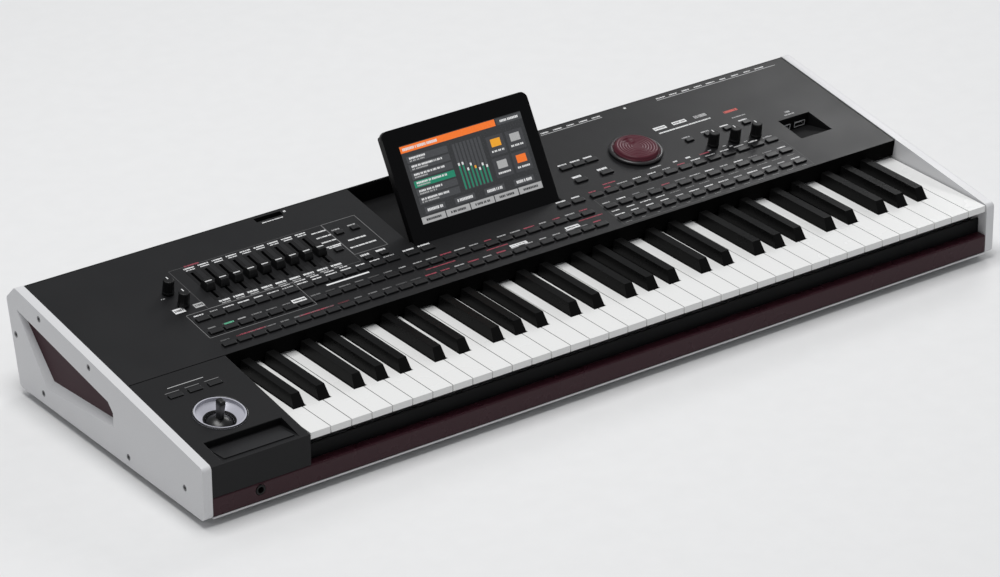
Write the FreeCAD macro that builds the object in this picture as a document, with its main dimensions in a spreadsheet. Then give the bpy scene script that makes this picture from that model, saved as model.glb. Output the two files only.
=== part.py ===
import FreeCAD, Part
import os
import re
import Sketcher

# Arranger keyboard: 61 keys, sloped control panel, tilting display.
# Lengths in mm, angles in degrees. +Z is up, the player sits towards -Y.
# The origin is the middle of the footprint, at the undersides of the feet.

doc = FreeCAD.newDocument("arranger_keyboard")
sheet = doc.addObject("Spreadsheet::Sheet", "sizes")

# Depths are taken back from the front plane and heights up from the underside
# of the case. On the panel, x counts from the left edge of the keys and v
# counts back along the slope.
SIZES = {
    # case
    "inner_width": 957.6,
    "end_thick": 10.0,
    "case_depth": 359.0,
    "base_thick": 2.0,
    "end_front_height": 55.7,
    "panel_slope": 8.69,
    "panel_drop": 1.0,
    "panel_thick": 2.5,
    "panel_seam": 0.4,
    "end_corner_round": 5.0,
    "rear_inset": 1.0,
    "rear_tip_share": 0.84838,
    "rear_wall": 1.2,
    "rear_flange": 12.0,
    "overrun": 5.0,
    "running_gap": 0.05,
    # window in the end panels
    "window_recess": 8.0,
    "window_round": 1.5,
    "insert_thick": 2.0,
    # screws of the end panels
    "rear_screw_height": 56.0,
    "lower_rear_screw_height": 11.0,
    "lower_middle_screw_height": 10.0,
    "front_screw_height": 22.0,
    "screw_head_radius": 3.2,
    "screw_head_thick": 2.0,
    "screw_shank_radius": 1.6,
    "screw_gap": 0.2,
    "screw_drop": 0.3,
    "upper_screw_drop": 8.9,
    # feet
    "foot_height": 8.0,
    "foot_radius": 13.0,
    "foot_side": 60.0,
    "foot_front": 45.0,
    "foot_rear": 45.0,
    # front rail, key slip, joystick block
    "rail_thick": 12.0,
    "rail_height": 20.0,
    "slip_thick": 3.0,
    "slip_below": 18.6,
    "block_width": 110.0,
    "block_wall": 2.5,
    # keys
    "key_gap": 1.0,
    "key_side_gap": 0.6,
    "key_end_gap": 1.0,
    "key_drop": 0.1,
    "key_front": 1.3,
    "key_thick": 7.2,
    "key_head": 49.0,
    "black_front_gap": 1.0,
    "white_count": 36,
    "octave_count": 5,
    "octave_whites": 7,
    "black_width": 12.9,
    "black_top_width": 9.6,
    "black_rise": 12.0,
    "black_tip_run": 7.0,
    "black_side_gap": 1.0,
    "black_rear_gap": 1.5,
    "black_pair_offset": 2.63,
    "black_triple_offset": 3.47,
    "pivot_behind": 40.0,
    "pivot_drop": 5.0,
    "pivot_radius": 2.0,
    "pivot_boss_radius": 4.6,
    "lip_clearance": 2.5,
    "lip_thick": 2.5,
    # key bed
    "bed_front": 24.0,
    "bed_tail": 16.7,
    "bed_below": 12.4,
    "bed_thick": 2.0,
    "fin_thick": 0.5,
    "fin_depth": 12.0,
    "fin_above": 3.0,
    "felt_inset": 4.0,
    "felt_depth": 16.0,
    "felt_thick": 3.5,
    "contact_front": 85.0,
    "contact_depth": 40.0,
    "contact_dome_inset": 15.0,
    "contact_dome_depth": 10.0,
    "contact_dome_height": 4.5,
    "board_thick": 1.6,
}

SIZES.update({
    # display and its tray
    "display_sink": 1.0,
    "display_tilt": 60.0,
    "display_edge": 2.5,
    "display_frame_thick": 6.0,
    "display_cover_thick": 10.0,
    "display_cover_inset": 3.0,
    "display_corner_round": 8.0,
    "glass_thick": 2.0,
    "glass_drop": 0.5,
    "tray_side": 2.0,
    "tray_front": 4.5,
    "tray_rear": 0.6,
    "tray_deep": 22.0,
    "tray_wall": 1.2,
    "ear_thick": 1.5,
    "ear_half": 3.5,
    "ear_deep": 4.0,
    "hinge_pin_radius": 1.5,
    "hinge_pin_reach": 10.0,
    # buttons
    "button_wide": 6.0,
    "button_rise": 2.0,
    "block_button_rise": 1.0,
    "button_gap": 0.4,
    "button_web": 1.5,
    "button_margin": 1.5,
    "right_columns": 13,
    "small_button_long": 9.0,
    # faders
    "fader_cap_wide": 11.0,
    "fader_cap_long": 13.0,
    "fader_cap_high": 8.0,
    "fader_lift": 0.6,
    "fader_stem_wide": 2.4,
    "fader_stem_long": 4.0,
    "fader_gap": 0.4,
    "track_wide": 10.0,
    "track_deep": 9.0,
    "track_floor": 1.5,
    "track_end": 6.0,
    # knobs and dial
    "knob_radius": 6.25,
    "knob_top_radius": 5.7,
    "knob_high": 15.5,
    "knob_lift": 0.8,
    "knob_mark_wide": 1.2,
    "knob_mark_long": 4.0,
    "knob_mark_deep": 0.6,
    "shaft_radius": 3.0,
    "shaft_long": 10.0,
    "shaft_hole_gap": 0.5,
    "pot_wide": 13.0,
    "pot_deep": 9.0,
    "dial_radius": 29.0,
    "dial_rim_high": 3.5,
    "dial_top_radius": 23.0,
    "dial_high": 7.0,
    "dimple_out": 11.5,
    "dimple_ball": 12.0,
    "dimple_deep": 2.2,
    "dimple_turn": 80.0,
    # joystick and ribbon
    "bowl_radius": 27.0,
    "bowl_rim": 3.0,
    "bowl_rim_high": 0.8,
    "bowl_step": 3.0,
    "bowl_deep": 9.6,
    "bowl_wall": 1.2,
    "bowl_hole_radius": 14.0,
    "dome_radius": 20.7,
    "dome_latitude": 30.0,
    "stick_sink": 25.7,
    "stick_above": 15.0,
    "stick_wide": 6.5,
    "stick_long": 9.0,
    "post_radius": 3.0,
    "gimbal_inner": 9.0,
    "gimbal_bar": 5.0,
    "gimbal_half_high": 2.4,
    "gimbal_pin_radius": 1.6,
    "gimbal_pin_long": 11.0,
    "lug_thick": 4.0,
    "lug_half_wide": 5.0,
    "lug_below": 5.0,
    "lug_top": 5.6,
    "ribbon_deep": 8.4,
    "ribbon_strip_thick": 1.0,
    "ribbon_margin": 4.0,
    # recess with ports, rear slot
    "bay_wide": 42.0,
    "bay_deep": 16.0,
    "bay_wall": 1.5,
    "port_wide": 14.5,
    "port_high": 6.6,
    "port_deep": 14.0,
    "port_wall": 0.7,
    "port_sink": 11.5,
    "port_step": 20.0,
    "slot_wide": 32.0,
    "slot_behind": 2.4,
    "slot_long": 7.0,
    "slot_deep": 12.0,
    "slot_wall": 1.5,
    # sockets
    "jack_bore": 3.2,
    "jack_radius": 5.0,
    "jack_proud": 1.0,
    "jack_long": 22.0,
    "jack_body": 7.0,
    "headphone_height": 13.8,
    "jack_level": 32.0,
    "din_radius": 9.0,
    "din_recess_radius": 7.6,
    "din_recess_deep": 9.0,
    "din_long": 13.0,
    "inlet_wide": 30.0,
    "inlet_high": 22.0,
    "inlet_long": 24.0,
    "inlet_wall": 2.0,
    "inlet_recess": 16.0,
    # boards and power supply
    "panel_board_drop": 10.0,
    "panel_board_gap": 1.0,
    "panel_board_edge": 1.0,
    "board_post_radius": 1.2,
    "board_post_inset": 1.8,
    "main_board_lift": 8.0,
    "inside_gap": 10.0,
    "main_board_share": 0.8,
    "supply_share": 0.76,
    "supply_high": 40.0,
})

# Places and sizes across the panel, as shares of the width of the keys.
KEYS_SHARES = {
    "display_x": 0.42991,
    "display_width": 0.21466,
    "button_long": 0.01714,
    "left_first": 0.01596,
    "center_first": 0.30378,
    "column_step": 0.02045,
    "right_first": 0.58392,
    "right_column_step": 0.02293,
    "pair_left_first": 0.30969,
    "pair_right_first": 0.53369,
    "pair_step": 0.02246,
    "triple_first": 0.58747,
    "triple_step": 0.01950,
    "double_step": 0.03901,
    "small_first": 0.25768,
    "small_step": 0.02246,
    "single_first": 0.23641,
    "effect_first": 0.76596,
    "effect_step": 0.03038,
    "fader_first": 0.05615,
    "fader_step": 0.01950,
    "left_rear_knob_x": 0.00910,
    "left_front_knob_x": 0.01170,
    "right_first_knob_x": 0.78511,
    "right_second_knob_x": 0.81619,
    "right_third_knob_x": 0.84764,
    "dial_x": 0.68877,
    "bay_x": 0.89598,
    "slot_x": 0.18322,
}
# Places in depth, as shares of the depth of the case.
DEPTH_SHARES = {
    "panel_split": 0.41783,
    "rear_foot_depth": 0.94930,
    "rear_top_depth": 0.95265,
    "window_rear_depth": 0.92618,
    "window_nose_depth": 0.48886,
    "window_front_depth": 0.47493,
    "window_low_depth": 0.78691,
    "rim_rear_depth": 0.94568,
    "rim_nose_depth": 0.47075,
    "rim_front_depth": 0.44680,
    "rim_low_depth": 0.79777,
    "upper_rear_screw_depth": 0.82451,
    "upper_front_screw_depth": 0.56546,
    "rear_screw_depth": 0.95822,
    "lower_rear_screw_depth": 0.82173,
    "lower_middle_screw_depth": 0.37604,
    "front_screw_depth": 0.09192,
    "display_v": 0.63064,
    "row_step": 0.06685,
    "row_front": 0.45682,
    "pair_row": 0.59053,
    "triple_row": 0.75209,
    "double_row": 0.67688,
    "small_front_row": 0.63092,
    "small_rear_row": 0.77716,
    "single_row": 0.70474,
    "effect_row": 0.70752,
    "block_button_row": 0.32033,
    "fader_rest": 0.71588,
    "fader_low": 0.66992,
    "fader_travel": 0.12535,
    "left_rear_knob_v": 0.74457,
    "left_front_knob_v": 0.67409,
    "right_first_knob_v": 0.65153,
    "right_second_knob_v": 0.64150,
    "right_third_knob_v": 0.63426,
    "dial_v": 0.73008,
    "stick_v": 0.19694,
    "ribbon_front": 0.00836,
    "ribbon_rear": 0.10306,
    "bay_front": 0.55710,
    "bay_rear": 0.66852,
    "panel_board_front": 0.42758,
}
# Places and sizes along the rear and inside, as shares of the inner width.
WIDTH_SHARES = {
    "jack_first": -0.34461,
    "jack_step": 0.02924,
    "din_first": -0.12531,
    "din_step": 0.03133,
    "inlet_x": 0.34461,
    "main_board_x": -0.31328,
    "main_board_wide": 0.41771,
    "supply_x": 0.20886,
    "supply_wide": 0.15664,
}
# Places and sizes left of the keys, as shares of the width of the joystick block.
BLOCK_SHARES = {
    "block_button_first": -0.70909,
    "block_button_step": 0.20000,
    "stick_x": -0.51182,
    "ribbon_x": -0.87273,
    "ribbon_wide": 0.78182,
    "headphone_x": -0.52182,
}
# The screen's place and size across, as shares of the width of the display.
SCREEN_WIDTH_SHARES = {
    "screen_left": 0.09086,
    "screen_width": 0.83425,
}
# The screen's place and size upwards, as shares of the height of the display.
SCREEN_HEIGHT_SHARES = {
    "screen_low": 0.15680,
    "screen_high": 0.68891,
}
# Heights of the corners of the window and its rim: depth of the corner, share of the end
# panel's height there.
WINDOW_SHARES = {
    "window_rear_height": ("window_rear_depth", 0.73695),
    "window_nose_height": ("window_nose_depth", 0.60588),
    "window_front_top": ("window_front_depth", 0.53816),
    "window_front_low": ("window_front_depth", 0.43542),
    "window_low_height": ("window_low_depth", 0.28217),
    "rim_rear_height": ("rim_rear_depth", 0.79282),
    "rim_nose_height": ("rim_nose_depth", 0.67949),
    "rim_front_top": ("rim_front_depth", 0.57968),
    "rim_front_low": ("rim_front_depth", 0.39394),
    "rim_low_height": ("rim_low_depth", 0.20005),
}

FORMULAS = {
    "keys_width": "inner_width - block_width - key_side_gap - key_end_gap",
    "key_pitch": "keys_width / white_count",
}
for whole, shares in (("keys_width", KEYS_SHARES), ("case_depth", DEPTH_SHARES),
                      ("inner_width", WIDTH_SHARES),
                      ("block_width", BLOCK_SHARES), ("display_width", SCREEN_WIDTH_SHARES)):
    for name, share in shares.items():
        FORMULAS[name] = f"{share} * {whole}"
for name, (corner_depth, share) in WINDOW_SHARES.items():
    FORMULAS[name] = f"{share} * (end_front_height + {corner_depth} * tan(panel_slope))"
FORMULAS.update({
    "keys_left": "-inner_width / 2 + block_width + key_side_gap",
    "keys_right": "keys_left + keys_width",
    "octave_step": "octave_whites * key_pitch",
    "panel_front": "foot_height + end_front_height - panel_drop",
    "panel_rear": "(rear_top_depth - rear_wall) / cos(panel_slope) - panel_thick * tan(panel_slope)",
    "panel_drop_under": "panel_thick / cos(panel_slope)",
    "case_floor": "foot_height + base_thick",
    "window_ledge": "window_recess - insert_thick",
    "rail_top": "case_floor + rail_height",
    "split_depth": "panel_split * cos(panel_slope)",
    "split_height": "panel_front + panel_split * sin(panel_slope)",
    "key_top": "end_front_height - key_drop",
    "lip_drop": "(split_height - foot_height - key_top - lip_clearance) / cos(panel_slope)",
    "rear_top_height": "panel_front + rear_top_depth * tan(panel_slope)",
    "rear_end_height": "end_front_height + rear_top_depth * tan(panel_slope)",
    "rear_tip_height": "rear_tip_share * rear_end_height",
    "rear_lean": "atan((case_depth - rear_foot_depth) / rear_tip_height)",
    "upper_rear_screw_height":
        "end_front_height + upper_rear_screw_depth * tan(panel_slope) - upper_screw_drop",
    "upper_front_screw_height":
        "end_front_height + upper_front_screw_depth * tan(panel_slope) - upper_screw_drop",
    "pivot_depth": "split_depth + pivot_behind",
    "pivot_height": "foot_height + key_top - pivot_drop",
    "key_low": "foot_height + key_top - key_thick",
    "slip_top": "key_top - slip_below",
    "black_front": "key_front + key_head + black_front_gap",
    "black_rear": "split_depth - black_rear_gap",
    "bed_top": "key_top - key_thick - bed_below",
    "bed_rear": "pivot_depth + bed_tail",
    "felt_front": "bed_front + felt_inset",
    "contact_dome_front": "contact_front + contact_dome_inset",
    "display_center": "keys_left + display_x",
    "display_axis_y": "display_v * cos(panel_slope) + display_sink * sin(panel_slope) - case_depth / 2",
    "display_axis_z": "panel_front + display_v * sin(panel_slope) - display_sink * cos(panel_slope)",
    "tray_half": "display_width / 2 + tray_side",
    "tray_low": "display_v - tray_front",
    "display_height": "panel_rear - tray_rear - display_v + display_edge",
    "track_low": "fader_low - fader_stem_long / 2 - fader_gap - track_end",
    "track_length": "fader_travel + fader_stem_long + 2 * fader_gap + 2 * track_end",
    "slot_front": "panel_rear - slot_behind - slot_long",
    "gimbal_outer": "gimbal_inner + gimbal_bar",
    "screw_reach": "end_thick - screw_drop - screw_head_thick",
    "rear_base": "rear_foot_depth - rear_inset + base_thick * tan(rear_lean)",
    "panel_board_side": "button_long / 2 + button_margin + 2 * board_post_inset + panel_board_edge",
    "panel_board_left": "left_first - panel_board_side",
    "panel_board_right": "right_first + (right_columns - 1) * right_column_step + panel_board_side",
    "panel_board_wide": "panel_board_right - panel_board_left",
    "panel_board_deep": "tray_low - tray_wall - panel_board_gap - panel_board_front",
    "inside_front": "bed_rear + inside_gap",
    "main_board_deep": "main_board_share * (rear_base - inside_front)",
    "supply_deep": "supply_share * (rear_base - inside_front)",
    "shaft_hole": "shaft_radius + shaft_hole_gap",
    "bowl_outside": "bowl_radius - bowl_rim + bowl_wall",
    "rear_under": "rear_top_height - panel_drop_under",
})
for name, share in SCREEN_HEIGHT_SHARES.items():
    FORMULAS[name] = f"{share} * display_height"

for row, name in enumerate(list(SIZES) + list(FORMULAS), 1):
    sheet.set(f"A{row}", name)
    sheet.set(f"B{row}", str(SIZES[name]) if name in SIZES else "=" + FORMULAS[name])
    sheet.setAlias(f"B{row}", name)
doc.recompute()

WORD = re.compile(r"[A-Za-z_]\w*")
KNOWN = {name: f"sizes.{name}" for name in list(SIZES) + list(FORMULAS)}
nodes = []


def formula(text):
    """Write a formula with each name read from the sheet."""
    return WORD.sub(lambda word: KNOWN.get(word.group(), word.group()), text)


def bind(item, field, text):
    """Tie a field of an item to a formula."""
    item.setExpression(field, formula(text))


def value(text):
    """Present value of a formula, for a first guess of a sketch."""
    result = sheet.evalExpression(formula(text))
    return getattr(result, "Value", result)


def move(item, corner):
    """Tie the place of an item to three formulas."""
    for axis, text in zip("xyz", corner):
        bind(item, f"Placement.Base.{axis}", text)


def box(name, corner, size):
    """A block from its low corner and its three sizes."""
    item = doc.addObject("Part::Box", name)
    for field, text in zip(("Length", "Width", "Height"), size):
        bind(item, field, text)
    move(item, corner)
    return item


TURNS = {
    "x": FreeCAD.Rotation(FreeCAD.Vector(0, 1, 0), 90),
    "y": FreeCAD.Rotation(FreeCAD.Vector(1, 0, 0), -90),
    "z": FreeCAD.Rotation(),
}


def cylinder(name, start, radius, length, axis="z"):
    """A round bar from the middle of its first end, along one axis."""
    item = doc.addObject("Part::Cylinder", name)
    item.Placement = FreeCAD.Placement(FreeCAD.Vector(), TURNS[axis])
    bind(item, "Radius", radius)
    bind(item, "Height", length)
    move(item, start)
    return item


def fuse(name, pieces):
    """Several pieces made one."""
    item = doc.addObject("Part::MultiFuse", name)
    item.Shapes = pieces
    return item


def group(name, pieces):
    """Several pieces side by side."""
    item = doc.addObject("Part::Compound", name)
    item.Links = pieces
    return item


def cut(name, base, tools):
    """A piece with the tools taken out of it."""
    item = doc.addObject("Part::Cut", name)
    item.Base = base
    item.Tool = tools[0] if len(tools) == 1 else group(f"{name}_tools", tools)
    return item


FRAMES = {
    # name: corner of the frame, turn about the x axis
    "case": (("0", "-case_depth / 2", "0"), "0"),
    "panel": (("0", "-case_depth / 2", "panel_front"), "panel_slope"),
    "rear": (("0", "rear_foot_depth - rear_inset - case_depth / 2", "foot_height"), "-rear_lean"),
    "display": (("display_center", "display_axis_y", "display_axis_z"), "display_tilt"),
}


def lay(name, pieces, frame):
    """Pieces laid out in one of the frames."""
    item = group(name, pieces)
    corner, turn = FRAMES[frame]
    item.Placement = FreeCAD.Placement(FreeCAD.Vector(),
                                       FreeCAD.Rotation(FreeCAD.Vector(1, 0, 0), value(turn)))
    move(item, corner)
    bind(item, "Placement.Rotation.Angle", turn)
    return item


def node(item, label):
    """Note an item as a sub-part of its own."""
    item.Label = label
    nodes.append(item)
    return item


def new_body(name):
    """An empty body."""
    return doc.addObject("PartDesign::Body", name)


def origin(body, role):
    """One of a body's own planes or axes."""
    return [part for part in body.Origin.OriginFeatures if part.Role == role][0]


def blank_sketch(body, plane, level):
    """An empty sketch on one of the body's planes, raised to a level."""
    plan = body.newObject("Sketcher::SketchObject", f"{body.Name}_sketch")
    plan.AttachmentSupport = [(origin(body, plane), "")]
    plan.MapMode = "FlatFace"
    bind(plan, "AttachmentOffset.Base.z", level)
    return plan


def hold(plan, kind, place, axis, text):
    """Hold a point of a sketch at a distance from an axis."""
    if text == "0":
        plan.addConstraint(Sketcher.Constraint("PointOnObject", *place, axis))
        return
    index = plan.addConstraint(Sketcher.Constraint(kind, -1, 1, *place, value(text)))
    bind(plan, f"Constraints[{index}]", text)


def polygon(body, plane, level, points):
    """A closed outline through points given by formulas."""
    plan = blank_sketch(body, plane, level)
    corners = [FreeCAD.Vector(value(across), value(up), 0) for across, up in points]
    for start, end in zip(corners, corners[1:] + corners[:1]):
        plan.addGeometry(Part.LineSegment(start, end), False)
    for index, (across, up) in enumerate(points):
        plan.addConstraint(Sketcher.Constraint("Coincident", index, 2, (index + 1) % len(points), 1))
    for index, (across, up) in enumerate(points):
        hold(plan, "DistanceX", (index, 1), -2, across)
        hold(plan, "DistanceY", (index, 1), -1, up)
    return plan


def circle(body, plane, level, middle, radius):
    """A round outline."""
    plan = blank_sketch(body, plane, level)
    center = FreeCAD.Vector(value(middle[0]), value(middle[1]), 0)
    plan.addGeometry(Part.Circle(center, FreeCAD.Vector(0, 0, 1), value(radius)), False)
    hold(plan, "DistanceX", (0, 3), -2, middle[0])
    hold(plan, "DistanceY", (0, 3), -1, middle[1])
    index = plan.addConstraint(Sketcher.Constraint("Radius", 0, value(radius)))
    bind(plan, f"Constraints[{index}]", radius)
    return plan


def pad(body, plan, length):
    """Material raised from a sketch."""
    item = body.newObject("PartDesign::Pad", f"{body.Name}_pad")
    item.Profile = plan
    bind(item, "Length", length)
    return item


def pocket(body, plan, length, forward=False):
    """Material taken out behind a sketch, or before it."""
    item = body.newObject("PartDesign::Pocket", f"{body.Name}_pocket")
    item.Profile = plan
    item.Reversed = forward
    bind(item, "Length", length)
    return item


def prism(name, points, start, length):
    """A body with one outline in the upright plane, running along x."""
    body = new_body(name)
    pad(body, polygon(body, "YZ_Plane", start, points), length)
    return body


def repeat(body, count, step, rows=None, row_step=None):
    """Repeat all of a body along x, and along y where rows are given."""
    item = body.newObject("PartDesign::LinearPattern", f"{body.Name}_row")
    item.TransformMode = "Whole shape"
    item.Direction = (origin(body, "X_Axis"), [""])
    item.Mode = "Spacing"
    bind(item, "Offset", step)
    if rows:
        item.Direction2 = (origin(body, "Y_Axis"), [""])
        item.Mode2 = "Extent"
        bind(item, "Length2", f"{rows - 1} * {row_step}")
    body.Tip = item
    item.Occurrences = count
    if rows:
        item.Occurrences2 = rows
    return item


# End panels: rounded outline, window with a sloped rim, screw seats.
SCREWS = ("upper_rear", "upper_front", "rear", "lower_rear", "lower_middle", "front")
OUTLINE = [
    ("0", "foot_height"),
    ("0", "foot_height + end_front_height"),
    ("rear_top_depth", "foot_height + end_front_height + rear_top_depth * tan(panel_slope)"),
    ("case_depth", "foot_height + rear_tip_height"),
    ("rear_foot_depth", "foot_height"),
]
WINDOW, RIM = [
    [(f"{edge}_rear_depth", f"foot_height + {edge}_rear_height"),
     (f"{edge}_nose_depth", f"foot_height + {edge}_nose_height"),
     (f"{edge}_front_depth", f"foot_height + {edge}_front_top"),
     (f"{edge}_front_depth", f"foot_height + {edge}_front_low"),
     (f"{edge}_low_depth", f"foot_height + {edge}_low_height")]
    for edge in ("window", "rim")]


ALIKE = 0.001


def edges_across(shape, length):
    """Names of the edges that run along x with a given length."""
    names = []
    for index, edge in enumerate(shape.Edges, 1):
        box_of_edge = edge.BoundBox
        if max(box_of_edge.YLength, box_of_edge.ZLength) < ALIKE and abs(edge.Length - length) < ALIKE:
            names.append(f"Edge{index}")
    return names


def soften(body, base, names, radius):
    """Round edges of the last feature of a body."""
    item = body.newObject("PartDesign::Fillet", f"{body.Name}_fillet")
    item.Base = (base, names)
    bind(item, "Radius", radius)
    doc.recompute()
    return item


def flare(body, wide, narrow):
    """Material taken out between a wide outline and a narrow one."""
    item = body.newObject("PartDesign::SubtractiveLoft", f"{body.Name}_flare")
    item.Profile = wide
    item.Sections = [narrow]
    item.Ruled = True
    return item


def end_panel(name, low, outer, ledge, forward, screw_tools):
    """One end panel from its low side along x, with the window in its outer face."""
    body = new_body(f"{name}_body")
    raised = pad(body, polygon(body, "YZ_Plane", low, OUTLINE), "end_thick")
    doc.recompute()
    soften(body, raised, edges_across(raised.Shape, value("end_thick")), "end_corner_round")
    sunk = pocket(body, polygon(body, "YZ_Plane", outer, WINDOW), "window_recess", forward)
    doc.recompute()
    soften(body, sunk, edges_across(sunk.Shape, value("window_recess")), "window_round")
    flare(body, polygon(body, "YZ_Plane", outer, RIM), polygon(body, "YZ_Plane", ledge, WINDOW))
    return node(lay(name, [cut(f"{name}_drilled", body, screw_tools)], "case"), name)


def insert_body(name, level):
    """The plate at the bottom of a window."""
    body = new_body(name)
    raised = pad(body, polygon(body, "YZ_Plane", level, WINDOW), "insert_thick")
    doc.recompute()
    soften(body, raised, edges_across(raised.Shape, value("insert_thick")), "window_round")
    return body


def screw_row(name, head_level, shank_level, seat_level):
    """Screws of one end panel and the tools for their seats."""
    screws = []
    tools = []
    for place in SCREWS:
        middle = (f"{place}_screw_depth", f"foot_height + {place}_screw_height")
        title = f"{name}_{place}"
        head = cylinder(f"{title}_head", (head_level, *middle), "screw_head_radius", "screw_head_thick", "x")
        shank = cylinder(f"{title}_shank", (shank_level, *middle), "screw_shank_radius", "screw_reach", "x")
        screws.append(fuse(f"{title}_screw", [head, shank]))
        tools.append(cylinder(f"{title}_seat", (seat_level, *middle), "screw_head_radius + screw_gap",
                              "screw_drop + screw_head_thick", "x"))
        tools.append(cylinder(f"{title}_hole", (shank_level, *middle), "screw_shank_radius + screw_gap",
                              "screw_reach", "x"))
    return screws, tools


left_screws, left_tools = screw_row(
    "left", "-inner_width / 2 - end_thick + screw_drop", "-inner_width / 2 - screw_reach",
    "-inner_width / 2 - end_thick")
right_screws, right_tools = screw_row(
    "right", "inner_width / 2 + screw_reach", "inner_width / 2", "inner_width / 2 + screw_reach")
end_panel("left_end_panel", "-inner_width / 2 - end_thick", "-inner_width / 2 - end_thick",
          "-inner_width / 2 - end_thick + window_ledge", True, left_tools)
end_panel("right_end_panel", "inner_width / 2", "inner_width / 2 + end_thick",
          "inner_width / 2 + end_thick - window_ledge", False, right_tools)
node(lay("case_screws", left_screws + right_screws, "case"), "case_screws")
left_insert = insert_body("left_insert", "-inner_width / 2 - end_thick + window_ledge")
right_insert = insert_body("right_insert", "inner_width / 2 + end_thick - window_recess")
node(lay("end_inserts", [left_insert, right_insert], "case"), "end_inserts")

# Bottom plate, feet, front rail and key slip.
node(lay("bottom_plate", [box("bottom_sheet", ("-inner_width / 2", "0", "foot_height"),
                              ("inner_width", "rear_base", "base_thick"))], "case"), "bottom_plate")
feet = []
for side in ("-", ""):
    for where, depth in (("front", "foot_front"), ("rear", "rear_foot_depth - foot_rear")):
        place = (f"{side}(inner_width / 2 - foot_side)", depth, "0")
        feet.append(cylinder(f"foot_{where}", place, "foot_radius", "foot_height"))
node(lay("rubber_feet", feet, "case"), "rubber_feet")

rail = box("rail_bar", ("-inner_width / 2", "0", "case_floor"), ("inner_width", "rail_thick", "rail_height"))
rail_hole = cylinder("rail_hole", ("keys_left + headphone_x", "-overrun", "foot_height + headphone_height"),
                     "jack_radius", "rail_thick + 2 * overrun", "y")
node(lay("front_rail", [cut("rail_drilled", rail, [rail_hole])], "case"), "front_rail")
slip = box("slip_bar", ("keys_left - key_side_gap", "rail_thick", "case_floor"),
           ("inner_width - block_width", "slip_thick", "slip_top - base_thick"))
node(lay("key_slip", [slip], "case"), "key_slip")

# Rear panel: leaning wall, sloped top edge, flange under the top panel.
rear_outline = [
    ("rear_base", "case_floor"),
    ("case_depth - rear_inset", "foot_height + rear_tip_height"),
    ("rear_top_depth", "rear_top_height"),
    ("rear_top_depth - rear_wall", "rear_top_height - rear_wall * tan(panel_slope)"),
    ("rear_top_depth - rear_wall", "rear_under - rear_wall * tan(panel_slope)"),
    ("rear_top_depth - rear_flange", "rear_under - rear_flange * tan(panel_slope)"),
    ("rear_top_depth - rear_flange", "rear_under - rear_flange * tan(panel_slope) - rear_wall"),
    ("rear_top_depth", "rear_under - rear_wall"),
    ("case_depth - rear_inset - rear_wall", "foot_height + rear_tip_height"),
    ("rear_base - rear_wall", "case_floor"),
]
rear_sheet = lay("rear_sheet", [prism("rear_wall_body", rear_outline, "-inner_width / 2", "inner_width")],
                 "case")

JACK_COUNT = 6
DIN_COUNT = 3
jack_places = [(f"jack_first + {index} * jack_step", "jack_level") for index in range(JACK_COUNT)]
din_places = [(f"din_first + {index} * din_step", "jack_level") for index in range(DIN_COUNT)]
rear_holes = []
rear_solids = []
for kind, places, bore, deep in (("jack", jack_places, "jack_bore", "jack_long - jack_proud"),
                                 ("din", din_places, "din_recess_radius", "din_recess_deep")):
    for across, up in places:
        barrel = cylinder(f"{kind}_barrel", (across, f"-{kind}_long", up), f"{kind}_radius",
                          f"{kind}_long + jack_proud", "y")
        hollow = cylinder(f"{kind}_hollow", (across, f"jack_proud - ({deep})", up), bore,
                          f"{deep} + overrun", "y")
        rear_solids.append(cut(f"{kind}_socket", barrel, [hollow]))
        rear_holes.append(cylinder(f"{kind}_hole", (across, "-overrun", up), f"{kind}_radius", "2 * overrun",
                                   "y"))
inlet = box("inlet_block", ("inlet_x - inlet_wide / 2", "-inlet_long", "jack_level - inlet_high / 2"),
            ("inlet_wide", "inlet_long + jack_proud", "inlet_high"))
inlet_hollow = box("inlet_hollow", ("inlet_x - inlet_wide / 2 + inlet_wall", "jack_proud - inlet_recess",
                                    "jack_level - inlet_high / 2 + inlet_wall"),
                   ("inlet_wide - 2 * inlet_wall", "inlet_recess + overrun", "inlet_high - 2 * inlet_wall"))
rear_solids.append(cut("inlet_socket", inlet, [inlet_hollow]))
rear_holes.append(box("inlet_hole", ("inlet_x - inlet_wide / 2", "-overrun", "jack_level - inlet_high / 2"),
                      ("inlet_wide", "2 * overrun", "inlet_high")))
tray_room = box("tray_room",
                ("display_center - tray_half - tray_wall - overrun", "panel_rear - 2 * rear_flange",
                 "-2 * rear_flange"),
                ("2 * tray_half + 2 * tray_wall + 2 * overrun", "2 * rear_flange",
                 "2 * rear_flange - panel_thick"))
slot_room = box("slot_room", ("keys_left + slot_x - slot_wall - overrun", "panel_rear - 2 * rear_flange",
                              "-2 * rear_flange"),
                ("slot_wide + 2 * slot_wall + 2 * overrun", "2 * rear_flange",
                 "2 * rear_flange - panel_thick"))
rear_cut = cut("rear_panel", rear_sheet, [lay("rear_hole_tools", rear_holes, "rear"),
                                          lay("rear_rooms", [tray_room, slot_room], "panel")])
node(rear_cut, "rear_panel")

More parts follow.
